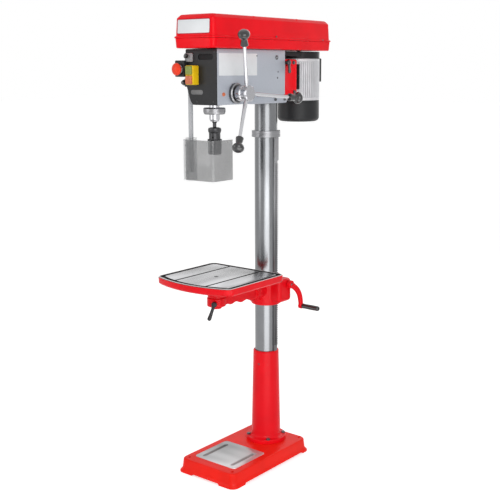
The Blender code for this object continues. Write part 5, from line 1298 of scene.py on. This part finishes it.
def make_cover(sizes):
    """The pan fixed to the head, the hinged lid with its blank plate, and the hinge."""
    low, seam, wall, draft, lip = COVER_LOW.z, COVER_SEAM, 0.002, 0.0085, 0.0052
    rim = seam - TOUCH
    shape = [(0.034, low, 0), (0.0055, low, 0.005), (0.003, rim, 0.0006), (0.003 + wall, rim, 0.0004)]
    shape = eased(shape + [(0.0055 + wall, low + wall, 0.004), (0.036, low + wall, 0)], 0.001, False, 5)
    pan = skin("pan_sheet", [level(cover_outline(inset), height) for inset, height in shape])
    slot = rounded(-0.02, 0.02, MOTOR.y - 0.036, MOTOR.y + 0.024, 0.0199)
    cut(
        pan,
        drum("spindle_hole", 0.025, on_line(1.67), on_line(1.7), sides=72),
        drum("idler_hole", 0.012, (0, IDLER.y, 1.67), (0, IDLER.y, 1.7), sides=56),
        slab("motor_slot", slot, 1.67, 1.7),
    )
    fit(pan, "stand", "cover_red", "red_paint", "cover_pan")
    foot, top = seam + TOUCH, span("cover_lid")[1].z
    seat, shoulder = foot + 0.0085, top - 0.016
    shape = [(wall, foot, 0.0004), (0, foot, 0.0006), (0, foot + 0.005, 0.0012), (lip, seat, 0.0015)]
    shape += [(draft, shoulder, 0.004), (draft + 0.0115, top - 0.0035, 0.007), (draft + 0.04, top, 0.03)]
    outer = eased(shape + [(draft + 0.06, top, 0)], 0.001, False, 5)
    inner = [(draft + 0.06, top - wall), (draft + 0.04, top - wall), (draft + 0.0125, top - 0.0035 - wall)]
    inner += [(draft + wall, top - 0.017), (lip + wall, foot + 0.0075)]
    rings = [level(cover_outline(inset), height) for inset, height in outer + inner]
    lid = skin("lid_sheet", rings, True, len(outer) - 1)
    for near, far in ((-0.134, -0.086), (-0.024, 0.024)):
        leaf_low, leaf_high = (HINGE_X + 0.001, near, seam + 0.0016), (COVER_LOW.x + 0.0018, far, seam + 0.0046)
        leaf = block(f"leaf_{near}", leaf_low, leaf_high, 0.0006)
        weld(lid, hinge_bar(f"knuckle_{near}", 0.0048, near, far, 0.0004, 40), leaf)
    cut(lid, hinge_bar("pin_bore", 0.0026, -0.16, 0.06))
    fit(lid, "cover_lid", "cover_red", "red_paint", "cover_lid", crease=30)
    hinge = hinge_bar("hinge_leaf", 0.0048, -0.085, -0.025, 0.0004, 40)
    leaf_low, leaf_high = (HINGE_X + 0.0028, -0.085, seam - 0.02), (HINGE_X + 0.0045, -0.025, seam - 0.002)
    weld(hinge, hinge_bar("pin", 0.0022, -0.14, 0.03, 0.0006), block("leaf", leaf_low, leaf_high, 0.0004))
    fit(hinge, "stand", "black_paint", "black_paint", "lid_hinge")
    slope = (draft - lip) / (shoulder - seat)
    plates = (("lid_frame", 0.0032, 0.0004, "frame_red"), ("lid_plate", 0.0, 0.0008, "blank_plate"))
    for name, grow, out, finish in plates:
        outline = rounded(-0.077 - grow, 0.077 + grow, 1.738 - grow, 1.786 + grow, 0.004 + grow)
        rings = []
        for reach in (-0.0006, out):
            rings.append([(x, COVER_LOW.y + lip + (z - seat) * slope - reach, z) for x, z in outline])
        fit(soften(skin(name, rings), 0.00025, 2), "cover_lid", finish, "red_paint")
    places = ((0.002, -0.061, 1.733), (0.0012, 0.25, 1.727))
    rows = [((COVER_HIGH.x - inset, y, z), (1, 0, 0.09), 0.0034) for inset, y, z in places]
    fixings("lid_screw", pan_screw, rows, "cover_lid")
    ribs = []
    for name, y in (("lid_ribs", -0.18), ("rear_rib", 0.09)):
        ribs.append(block(name, (-0.086, y - 0.0012, top - 0.02), (0.086, y + 0.0012, top - 0.0028)))
    fit(weld(*ribs), "cover_lid", "cover_red", "red_paint")


def make_pulleys(sizes):
    """Three stepped pulleys."""
    for name, y, steps, bore, below in (
        ("spindle_pulley", SPINDLE.y, STEPS[::-1], 0.0099, 0.052),
        ("idler_pulley", IDLER.y, STEPS, 0, PULLEY_LOW - 1.664),
        ("motor_pulley", MOTOR.y, STEPS[::-1], 0, 0.16),
    ):
        top = STEP_H * len(steps)
        profile = [(bore, top, 0)] + ([] if bore else [(0.01, top, 0), (0.012, top - 0.002, 0)])
        for radius in steps:
            profile += [(radius + 0.0013, top, 0.0006), (radius - 0.007, top - 0.0055, 0.0006)]
            profile += [(radius - 0.007, top - 0.012, 0.0006), (radius + 0.0013, top - STEP_H + 0.0008, 0.0006)]
            top -= STEP_H
        hub = bore + 0.0048 if bore else 0.0084
        profile += [(hub, 0.0002, 0.0006), (hub, -below, 0.0004), (bore, -below, 0)]
        pulley = lathe(f"{name}_cone", profile, 0.0005, 80, (0, y, PULLEY_LOW), 2)
        fit(pulley, name, "pulley_alloy", "cast_alloy", name)


def make_belts(sizes):
    """A vee belt round each pair of pulleys."""
    for name, low_y, low_r, high_y, high_r, step in (
        ("front_belt", SPINDLE.y, STEPS[0], IDLER.y, STEPS[3], 3),
        ("rear_belt", IDLER.y, STEPS[1], MOTOR.y, STEPS[2], 1),
    ):
        height = PULLEY_LOW + STEP_H * (len(STEPS) - step) - 0.00875

        def loop(extra):
            near, far = low_r + extra, high_r + extra
            slant = math.degrees(math.asin((near - far) / (high_y - low_y)))
            return arc(0, high_y, far, slant, 180 - slant, 40) + arc(0, low_y, near, 180 - slant, 360 + slant, 40)

        section = ((0.0004, -0.0023), (0.0004, 0.0023), (-0.0003, 0.0024))
        section += ((-0.0054, 0.0015), (-0.0054, -0.0015), (-0.0003, -0.0024))
        belt = skin(f"{name}_loop", [level(loop(extra), height + up) for extra, up in section], wrap=True)
        fit(belt, "stand", "belt_rubber", "belt_rubber", name, crease=50)


# ---------------------------------------------------------------- motor


def make_motor(sizes):
    """The ribbed motor, its end shield, fan cover, terminal box and slide."""
    low, high = span("motor_body")
    radius, top, foot = high.x, high.z, low.z

    def rib(angle, reach, height):
        if reach < radius - 0.0001 or not foot + 0.012 < height < top - 0.012:
            return reach
        wave = math.cos(angle * sizes.motor_ribs)
        return reach - 0.006 * (0.5 - 0.5 * max(-1.0, min(1.0, wave * 2.6)))

    profile = [(0, foot), (radius - 0.001, foot), (radius, foot + 0.001), (radius, foot + 0.0119)]
    profile += [(radius, foot + 0.0135), (radius, top - 0.0135), (radius, top - 0.0119), (radius, top - 0.003)]
    body = turned("motor_ribs", profile + [(radius - 0.003, top), (0, top)], 560, False, rib, (0, MOTOR.y, 0))
    fit(body, "motor", "motor_alloy", "cast_alloy", "motor_body", crease=25)
    low, high = span("motor_shield")
    profile = [(0, top + TOUCH), (radius, top + TOUCH), (radius, high.z), (0, high.z)]
    shield = lathe("shield_plate", profile, 0.002, 96, (0, MOTOR.y, 0))
    tongue_low = (max(low.x, -0.06), low.y, span("column")[1].z + 0.002)
    weld(shield, block("tongue", tongue_low, (0.06, 0.23, high.z - 0.0004), 0.003))
    cut(shield, drum("bore", 0.0089, (0, MOTOR.y, top - 0.02), (0, MOTOR.y, high.z + 0.02), sides=40))
    fit(shield, "motor", "black_paint", "black_paint", "motor_shield")
    low, high = span("fan_cover")
    profile = [(0, high.z), (radius - 0.0004, high.z), (radius - 0.0004, high.z - 0.006)]
    profile += [(radius - 0.0012, high.z - 0.007), (radius - 0.0002, high.z - 0.008)]
    profile += [(x - 0.0002, z) for x, z in arc(radius - 0.018, low.z + 0.018, 0.018, 0, -90, 10)]
    profile += [(0.022, low.z), (0.02, low.z + 0.001), (0, low.z + 0.001)]
    fan = turned("fan_hood", profile, 128, at=(0, MOTOR.y, 0))
    slots = []
    for index in range(sizes.fan_slots):
        run = compass(360 * index / sizes.fan_slots)
        side = Vector((-run.y, run.x, 0))
        corners = ((0.028, -0.0022), (0.066, -0.004), (0.066, 0.004), (0.028, 0.0022))
        plan = [run * reach + side * way for reach, way in corners]
        outline = [(place.x, place.y + MOTOR.y) for place in plan]
        slots.append(slab(f"air_slot_{index}", outline, low.z - 0.01, low.z + 0.003))
    cut(fan, *slots)
    fit(fan, "motor", "black_moulding", "black_plastic", "fan_cover")
    low, high = span("terminal_box")
    box = block("terminal_case", low, high - Vector((0, 0.007, 0)), 0.004)
    fit(box, "motor", "black_moulding", "black_plastic", "terminal_box")
    lid_low = (low.x + 0.0008, high.y - 0.0068, low.z + 0.0008)
    lid = block("terminal_lid", lid_low, high - Vector((0.0008, 0.0002, 0.0008)), 0.003, 4)
    fit(lid, "motor", "black_moulding", "black_plastic")
    centre = (low + high) / 2
    centre.y = high.y - 0.0012
    places = ((-0.033, -0.042), (0.033, -0.042), (0.033, 0.042), (-0.033, 0.042))
    rows = [(centre + Vector((x, 0, z)), (0, 1, 0), 0.0026) for x, z in places]
    fixings("terminal_screw", pan_screw, rows, "motor")
    low, high = span("motor_slide")
    slide = block("slide_plate", (low.x, high.y - 0.007, low.z), high, 0.0015)
    for x in (-RAIL_X, RAIL_X):
        weld(slide, drum(f"rail_{x}", 0.0074, (x, low.y + 0.0002, RAIL_Z), (x, high.y - 0.002, RAIL_Z), 0.0012, 48))
    fit(slide, "motor", "black_paint", "black_paint", "motor_slide")


def make_tension_lever(sizes):
    """The lever that slides the motor to tighten the belts."""
    profile = [(0, -0.0105), (0.0058, -0.0105), (0.0058, 0.009), (0.0105, 0.009, 0.001), (0.0105, 0.02, 0.003)]
    hub = lathe("tension_handle", profile + [(0, 0.0212)], 0.0006, 48)
    freeze(aim(hub, (0, 0, 0), (1, 0, 0)))
    run = ((0.015, 0), (0.0156, -0.008), (0.0165, -0.016), (0.0175, -0.027), (0.0183, -0.035))
    arm = sweep("arm", [(x, 0, z) for x, z in run], (0.005, 0.0048, 0.005, 0.0058, 0.006))
    weld(hub, arm, ball("tip", 0.006, (0.0185, 0, -0.036)))
    cast(hub, 0.0011, 4)
    hub.location = TENSION
    fit(hub, "tension_lever", "black_resin", "black_paint", "tension_lever", crease=60)


# ---------------------------------------------------------------- guard


def make_guard(sizes):
    """The guard's post, bracket, knob and clear shield."""
    low, high = span("guard_rod")
    post, post_r = Vector((ROD.x, ROD.y, 0)), (high.x - low.x) / 2
    rod = lathe("guard_post", [(0, low.z), (post_r, low.z), (post_r, high.z), (0, high.z)], 0.0014, 64, post)
    fit(rod, "guard_rod", "post_grey", "silver_paint", "guard_rod")
    low, high = span("guard_bracket")
    bracket, centre = block("post_bracket", low, high, 0.0045, 4), (low.z + high.z) / 2
    cut(
        bracket,
        drum("bore", post_r + 0.0005, (*ROD.xy, 1.5), (*ROD.xy, 1.62)),
        drum("screw", 0.0044, (*ROD.xy, centre), (ROD.x, low.y - 0.01, centre), sides=32),
    )
    fit(bracket, "stand", "black_paint", "black_paint", "guard_bracket")
    low, high = span("guard_knob")
    length = high.y - low.y
    profile = [(0, 0), (0.004, 0), (0.004, 0.0125), (0.007, 0.0128, 0.001), (0.011, 0.0165, 0.003)]
    profile += [(0.0111, 0.026, 0.004), (0.006, length, 0.003), (0, length)]
    knob = lathe("guard_thumb_knob", profile, 0.0006, 108, flute=ridged(0.0012, 6, 0.01))
    fit(aim(knob, (ROD.x, high.y, centre), (0, -1, 0)), "guard_knob", "black_resin", "black_plastic", "guard_knob")
    low, high = span("chuck_guard")
    tube_r, wall, corner, bend = ROD.x - low.x, 0.003, 0.016, 0.026
    top, foot, front, left, right, end = 1.352, 1.201, low.y, ROD.x + 0.006, high.x, -0.294
    outline = arc(left + bend, front + bend, bend, 180, 270, 12)
    outline += arc(right - corner, front + corner, corner, -90, 0, 12) + [(right, end), (right - wall, end)]
    outline += arc(right - corner, front + corner, corner - wall, 0, -90, 12)
    outline += arc(left + bend, front + bend, bend - wall, 270, 180, 12)
    outline += [(left + wall, ROD.y - tube_r + 0.002), (left, ROD.y - tube_r + 0.002)]
    shield = slab("guard_sheet", outline, foot, top, 0.0005, steps=2)
    ledge = high.z - 0.007
    profile = [(tube_r - wall, low.z, 0.0004), (tube_r, low.z), (tube_r, high.z), (post_r + 0.0006, high.z)]
    profile += [(post_r + 0.0006, ledge, 0.0004), (tube_r - wall, ledge, 0.0004)]
    weld(shield, lathe("tube", profile, 0.0008, 72, post))
    fit(shield, "chuck_guard", "smoked_sheet", "clear_plastic", "chuck_guard")

    def on_highlight_edge(place, normal):
        return abs(normal.z) > 0.6 and not foot + 0.001 < place.z < top - 0.001

    # The faces left of the bend's end get the lighter, clearer copy of the sheet: painted light.
    paint_faces(shield, "clear_flap", lambda place, normal: place.x < left + bend)
    # The sheet's top and bottom edge faces get the light grey painted highlight.
    paint_faces(shield, "sheet_rim", on_highlight_edge)
    rows = [((left - 0.0004, front + bend + 0.004, z), (-1, 0, 0), 0.0032) for z in (1.225, 1.328)]
    fixings("guard_screw", pan_screw, rows, "chuck_guard")


# ---------------------------------------------------------------- carried over


CARRIED = {
    "red_paint": "cast_red",
    "silver_paint": "panel_grey",
    "black_plastic": "black_moulding",
    "black_paint": "black_paint",
    "ground_steel": "rack_steel",
    "bright_steel": "bright_steel",
    "dark_steel": "screw_steel",
    "cast_alloy": "collar_alloy",
    "belt_rubber": "belt_rubber",
}


def finish_carried():
    """Gives the frame's own pieces that stay in sight a finish by the material they were packed with."""
    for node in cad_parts.values():
        if node.hide_render:
            continue
        for index, material in enumerate(node.data.materials):
            key = material.name.split(".")[0] if material else "dark_steel"
            node.data.materials[index] = FINISHES[CARRIED.get(key, "screw_steel")]


# ---------------------------------------------------------------- stage


def round_press(azimuth, distance, height):
    """A place round the press, its azimuth measured from straight in front towards the right."""
    turn = math.radians(azimuth)
    return AXIS + Vector((distance * math.sin(turn), -distance * math.cos(turn), height))


def soft_lamp(name, azimuth, height, distance, width, tall, power, target=1.0, matt=True):
    """A soft lamp that faces the press. Without matt it is a card that only gloss shows."""
    light = bpy.data.lights.new(name, "AREA")
    light.shape = "RECTANGLE"
    light.size, light.size_y = width, tall
    light.energy = power
    lamp = bpy.data.objects.new(name, light)
    bpy.context.scene.collection.objects.link(lamp)
    lamp.location = round_press(azimuth, distance, height)
    lamp.rotation_euler = (AXIS + Vector((0, 0, target)) - lamp.location).to_track_quat("-Z", "Y").to_euler()
    lamp.visible_camera = False
    lamp.visible_diffuse = matt


def for_the_eye(recipe):
    """1 where the eye looks, straight, by a reflection or through clear plastic, and 0 for light on the press."""
    camera, glossy, clear = (
        recipe.node("ShaderNodeLightPath", output=f"Is {kind} Ray") for kind in ("Camera", "Glossy", "Transmission")
    )
    return camera + glossy + clear


def set_sky(strength):
    """Even light from all sides, white to the eye."""
    world = bpy.data.worlds.new("sky")
    bpy.context.scene.world = world
    world.use_nodes = True
    recipe = Recipe(world.node_tree)
    recipe.tree.nodes.clear()
    amount = strength + (1.0 - strength) * for_the_eye(recipe)
    light = recipe.node("ShaderNodeBackground", None, {"Color": (1.0, 1.0, 1.0), "Strength": amount})
    recipe.node("ShaderNodeOutputWorld", None, {"Surface": light}, output=None)


def make_stage(stage):
    bm = bmesh.new()
    bmesh.ops.create_grid(bm, x_segments=2, y_segments=2, size=40)
    floor = piece("floor", bm)
    floor.location = (0, 0, -0.0005)
    recipe = Finish("floor", roughness=0.9, specular_ior_level=0.1, emission_strength=1.0)
    colour = tuple(stage.floor_colour)
    recipe.set("Base Color", recipe.between(recipe.noise(1.5), shade(colour, 0.995), colour))
    recipe.set("Emission Color", recipe.between(for_the_eye(recipe), (0, 0, 0), shade((1, 1, 1), stage.floor_glow)))
    floor.data.materials.append(recipe.material)
    soft_lamp("key_lamp", 50, 1.9, 3.6, 2.6, 2.8, stage.key_power)
    soft_lamp("fill_lamp", -28, 1.8, 3.8, 1.6, 2.4, stage.fill_power)
    soft_lamp("rear_lamp", 190, 2.4, 4.0, 3.0, 2.4, stage.rear_power)
    soft_lamp("gloss_card", 46, 0.57, 0.85, 0.8, 1.1, stage.card_power, 0.57, matt=False)
    set_sky(stage.sky)
    camera = bpy.data.objects.new("camera", bpy.data.cameras.new("camera"))
    bpy.context.scene.collection.objects.link(camera)
    azimuth, pitch = 38.117, 11.08
    camera.location = round_press(azimuth, 3.7305, 1.607)
    camera.rotation_euler = (math.radians(90 - pitch), 0, math.radians(azimuth))
    camera.data.lens = 66.16
    camera.data.sensor_width = 36.0
    camera.data.shift_x = -0.032
    bpy.context.scene.camera = camera
    bpy.context.scene.view_settings.view_transform = "Standard"


# ---------------------------------------------------------------- add-on


def build(context, *makers):
    """Runs each maker with the press's sizes."""
    for make in makers:
        make(context.scene.press_sizes)
    return {"FINISHED"}


class PRESS_OT_finishes(bpy.types.Operator):
    """Mix every paint, plastic and metal"""

    bl_idname = "press.finishes"
    bl_label = "Mix finishes"

    def execute(self, context):
        mix_finishes(context.scene.press_colours)
        return {"FINISHED"}


class PRESS_OT_stand(bpy.types.Operator):
    """Build the base, the column's support, the column and its ring"""

    bl_idname = "press.stand"
    bl_label = "Stand"

    def execute(self, context):
        return build(context, make_base, make_support, make_column)


class PRESS_OT_carriage(bpy.types.Operator):
    """Build the sliding bracket, its levers and the crank"""

    bl_idname = "press.carriage"
    bl_label = "Table carriage"

    def execute(self, context):
        return build(context, make_bracket, make_clamps, make_crank)


class PRESS_OT_table(bpy.types.Operator):
    """Build the arm and the work table"""

    bl_idname = "press.table"
    bl_label = "Table"

    def execute(self, context):
        return build(context, make_arm, make_table)


class PRESS_OT_head(bpy.types.Operator):
    """Build the head, its panel, its front cover and its controls"""

    bl_idname = "press.head"
    bl_label = "Head"

    def execute(self, context):
        return build(context, make_head, make_side_panel, make_front_cover, make_controls)


class PRESS_OT_spindle(bpy.types.Operator):
    """Build the quill, the spindle and the chuck"""

    bl_idname = "press.spindle"
    bl_label = "Quill and chuck"

    def execute(self, context):
        return build(context, make_quill, make_spindle)


class PRESS_OT_feed(bpy.types.Operator):
    """Build the feed hub, spokes, knobs and depth ring"""

    bl_idname = "press.feed"
    bl_label = "Feed"

    def execute(self, context):
        return build(context, make_feed)


class PRESS_OT_drive(bpy.types.Operator):
    """Build the belt cover, pulleys, belts, motor and tension lever"""

    bl_idname = "press.drive"
    bl_label = "Drive"

    def execute(self, context):
        return build(context, make_cover, make_pulleys, make_belts, make_motor, make_tension_lever)


class PRESS_OT_guard(bpy.types.Operator):
    """Build the chuck guard and its post"""

    bl_idname = "press.guard"
    bl_label = "Chuck guard"

    def execute(self, context):
        return build(context, make_guard)


class PRESS_OT_carried(bpy.types.Operator):
    """Finish the frame's own pieces that stay in sight"""

    bl_idname = "press.carried"
    bl_label = "Carried-over pieces"

    def execute(self, context):
        finish_carried()
        return {"FINISHED"}


class PRESS_OT_stage(bpy.types.Operator):
    """Set the floor, the lamps and the camera"""

    bl_idname = "press.stage"
    bl_label = "Stage"

    def execute(self, context):
        make_stage(context.scene.press_stage)
        return {"FINISHED"}


OPERATORS = (
    PRESS_OT_finishes,
    PRESS_OT_stand,
    PRESS_OT_carriage,
    PRESS_OT_table,
    PRESS_OT_head,
    PRESS_OT_spindle,
    PRESS_OT_feed,
    PRESS_OT_drive,
    PRESS_OT_guard,
    PRESS_OT_carried,
    PRESS_OT_stage,
)


class PRESS_PT_panel(bpy.types.Panel):
    """Lists the press's settings and its building steps"""

    bl_idname = "PRESS_PT_panel"
    bl_label = "Drill Press"
    bl_space_type = "VIEW_3D"
    bl_region_type = "UI"
    bl_category = "Drill Press"

    def draw(self, context):
        for group in (context.scene.press_sizes, context.scene.press_colours, context.scene.press_stage):
            column = self.layout.column(align=True)
            for name in group.__annotations__:
                column.prop(group, name)
        for operator in OPERATORS:
            self.layout.operator(operator.bl_idname)


CLASSES = (PressColours, PressSizes, PressStage, *OPERATORS, PRESS_PT_panel)


def register():
    for made in CLASSES:
        bpy.utils.register_class(made)
    bpy.types.Scene.press_colours = PointerProperty(type=PressColours)
    bpy.types.Scene.press_sizes = PointerProperty(type=PressSizes)
    bpy.types.Scene.press_stage = PointerProperty(type=PressStage)


def unregister():
    del bpy.types.Scene.press_stage
    del bpy.types.Scene.press_sizes
    del bpy.types.Scene.press_colours
    for made in reversed(CLASSES):
        bpy.utils.unregister_class(made)


def main():
    register()
    for operator in OPERATORS:
        group, name = operator.bl_idname.split(".")
        getattr(getattr(bpy.ops, group), name)()


if __name__ == "__main__":
    main()
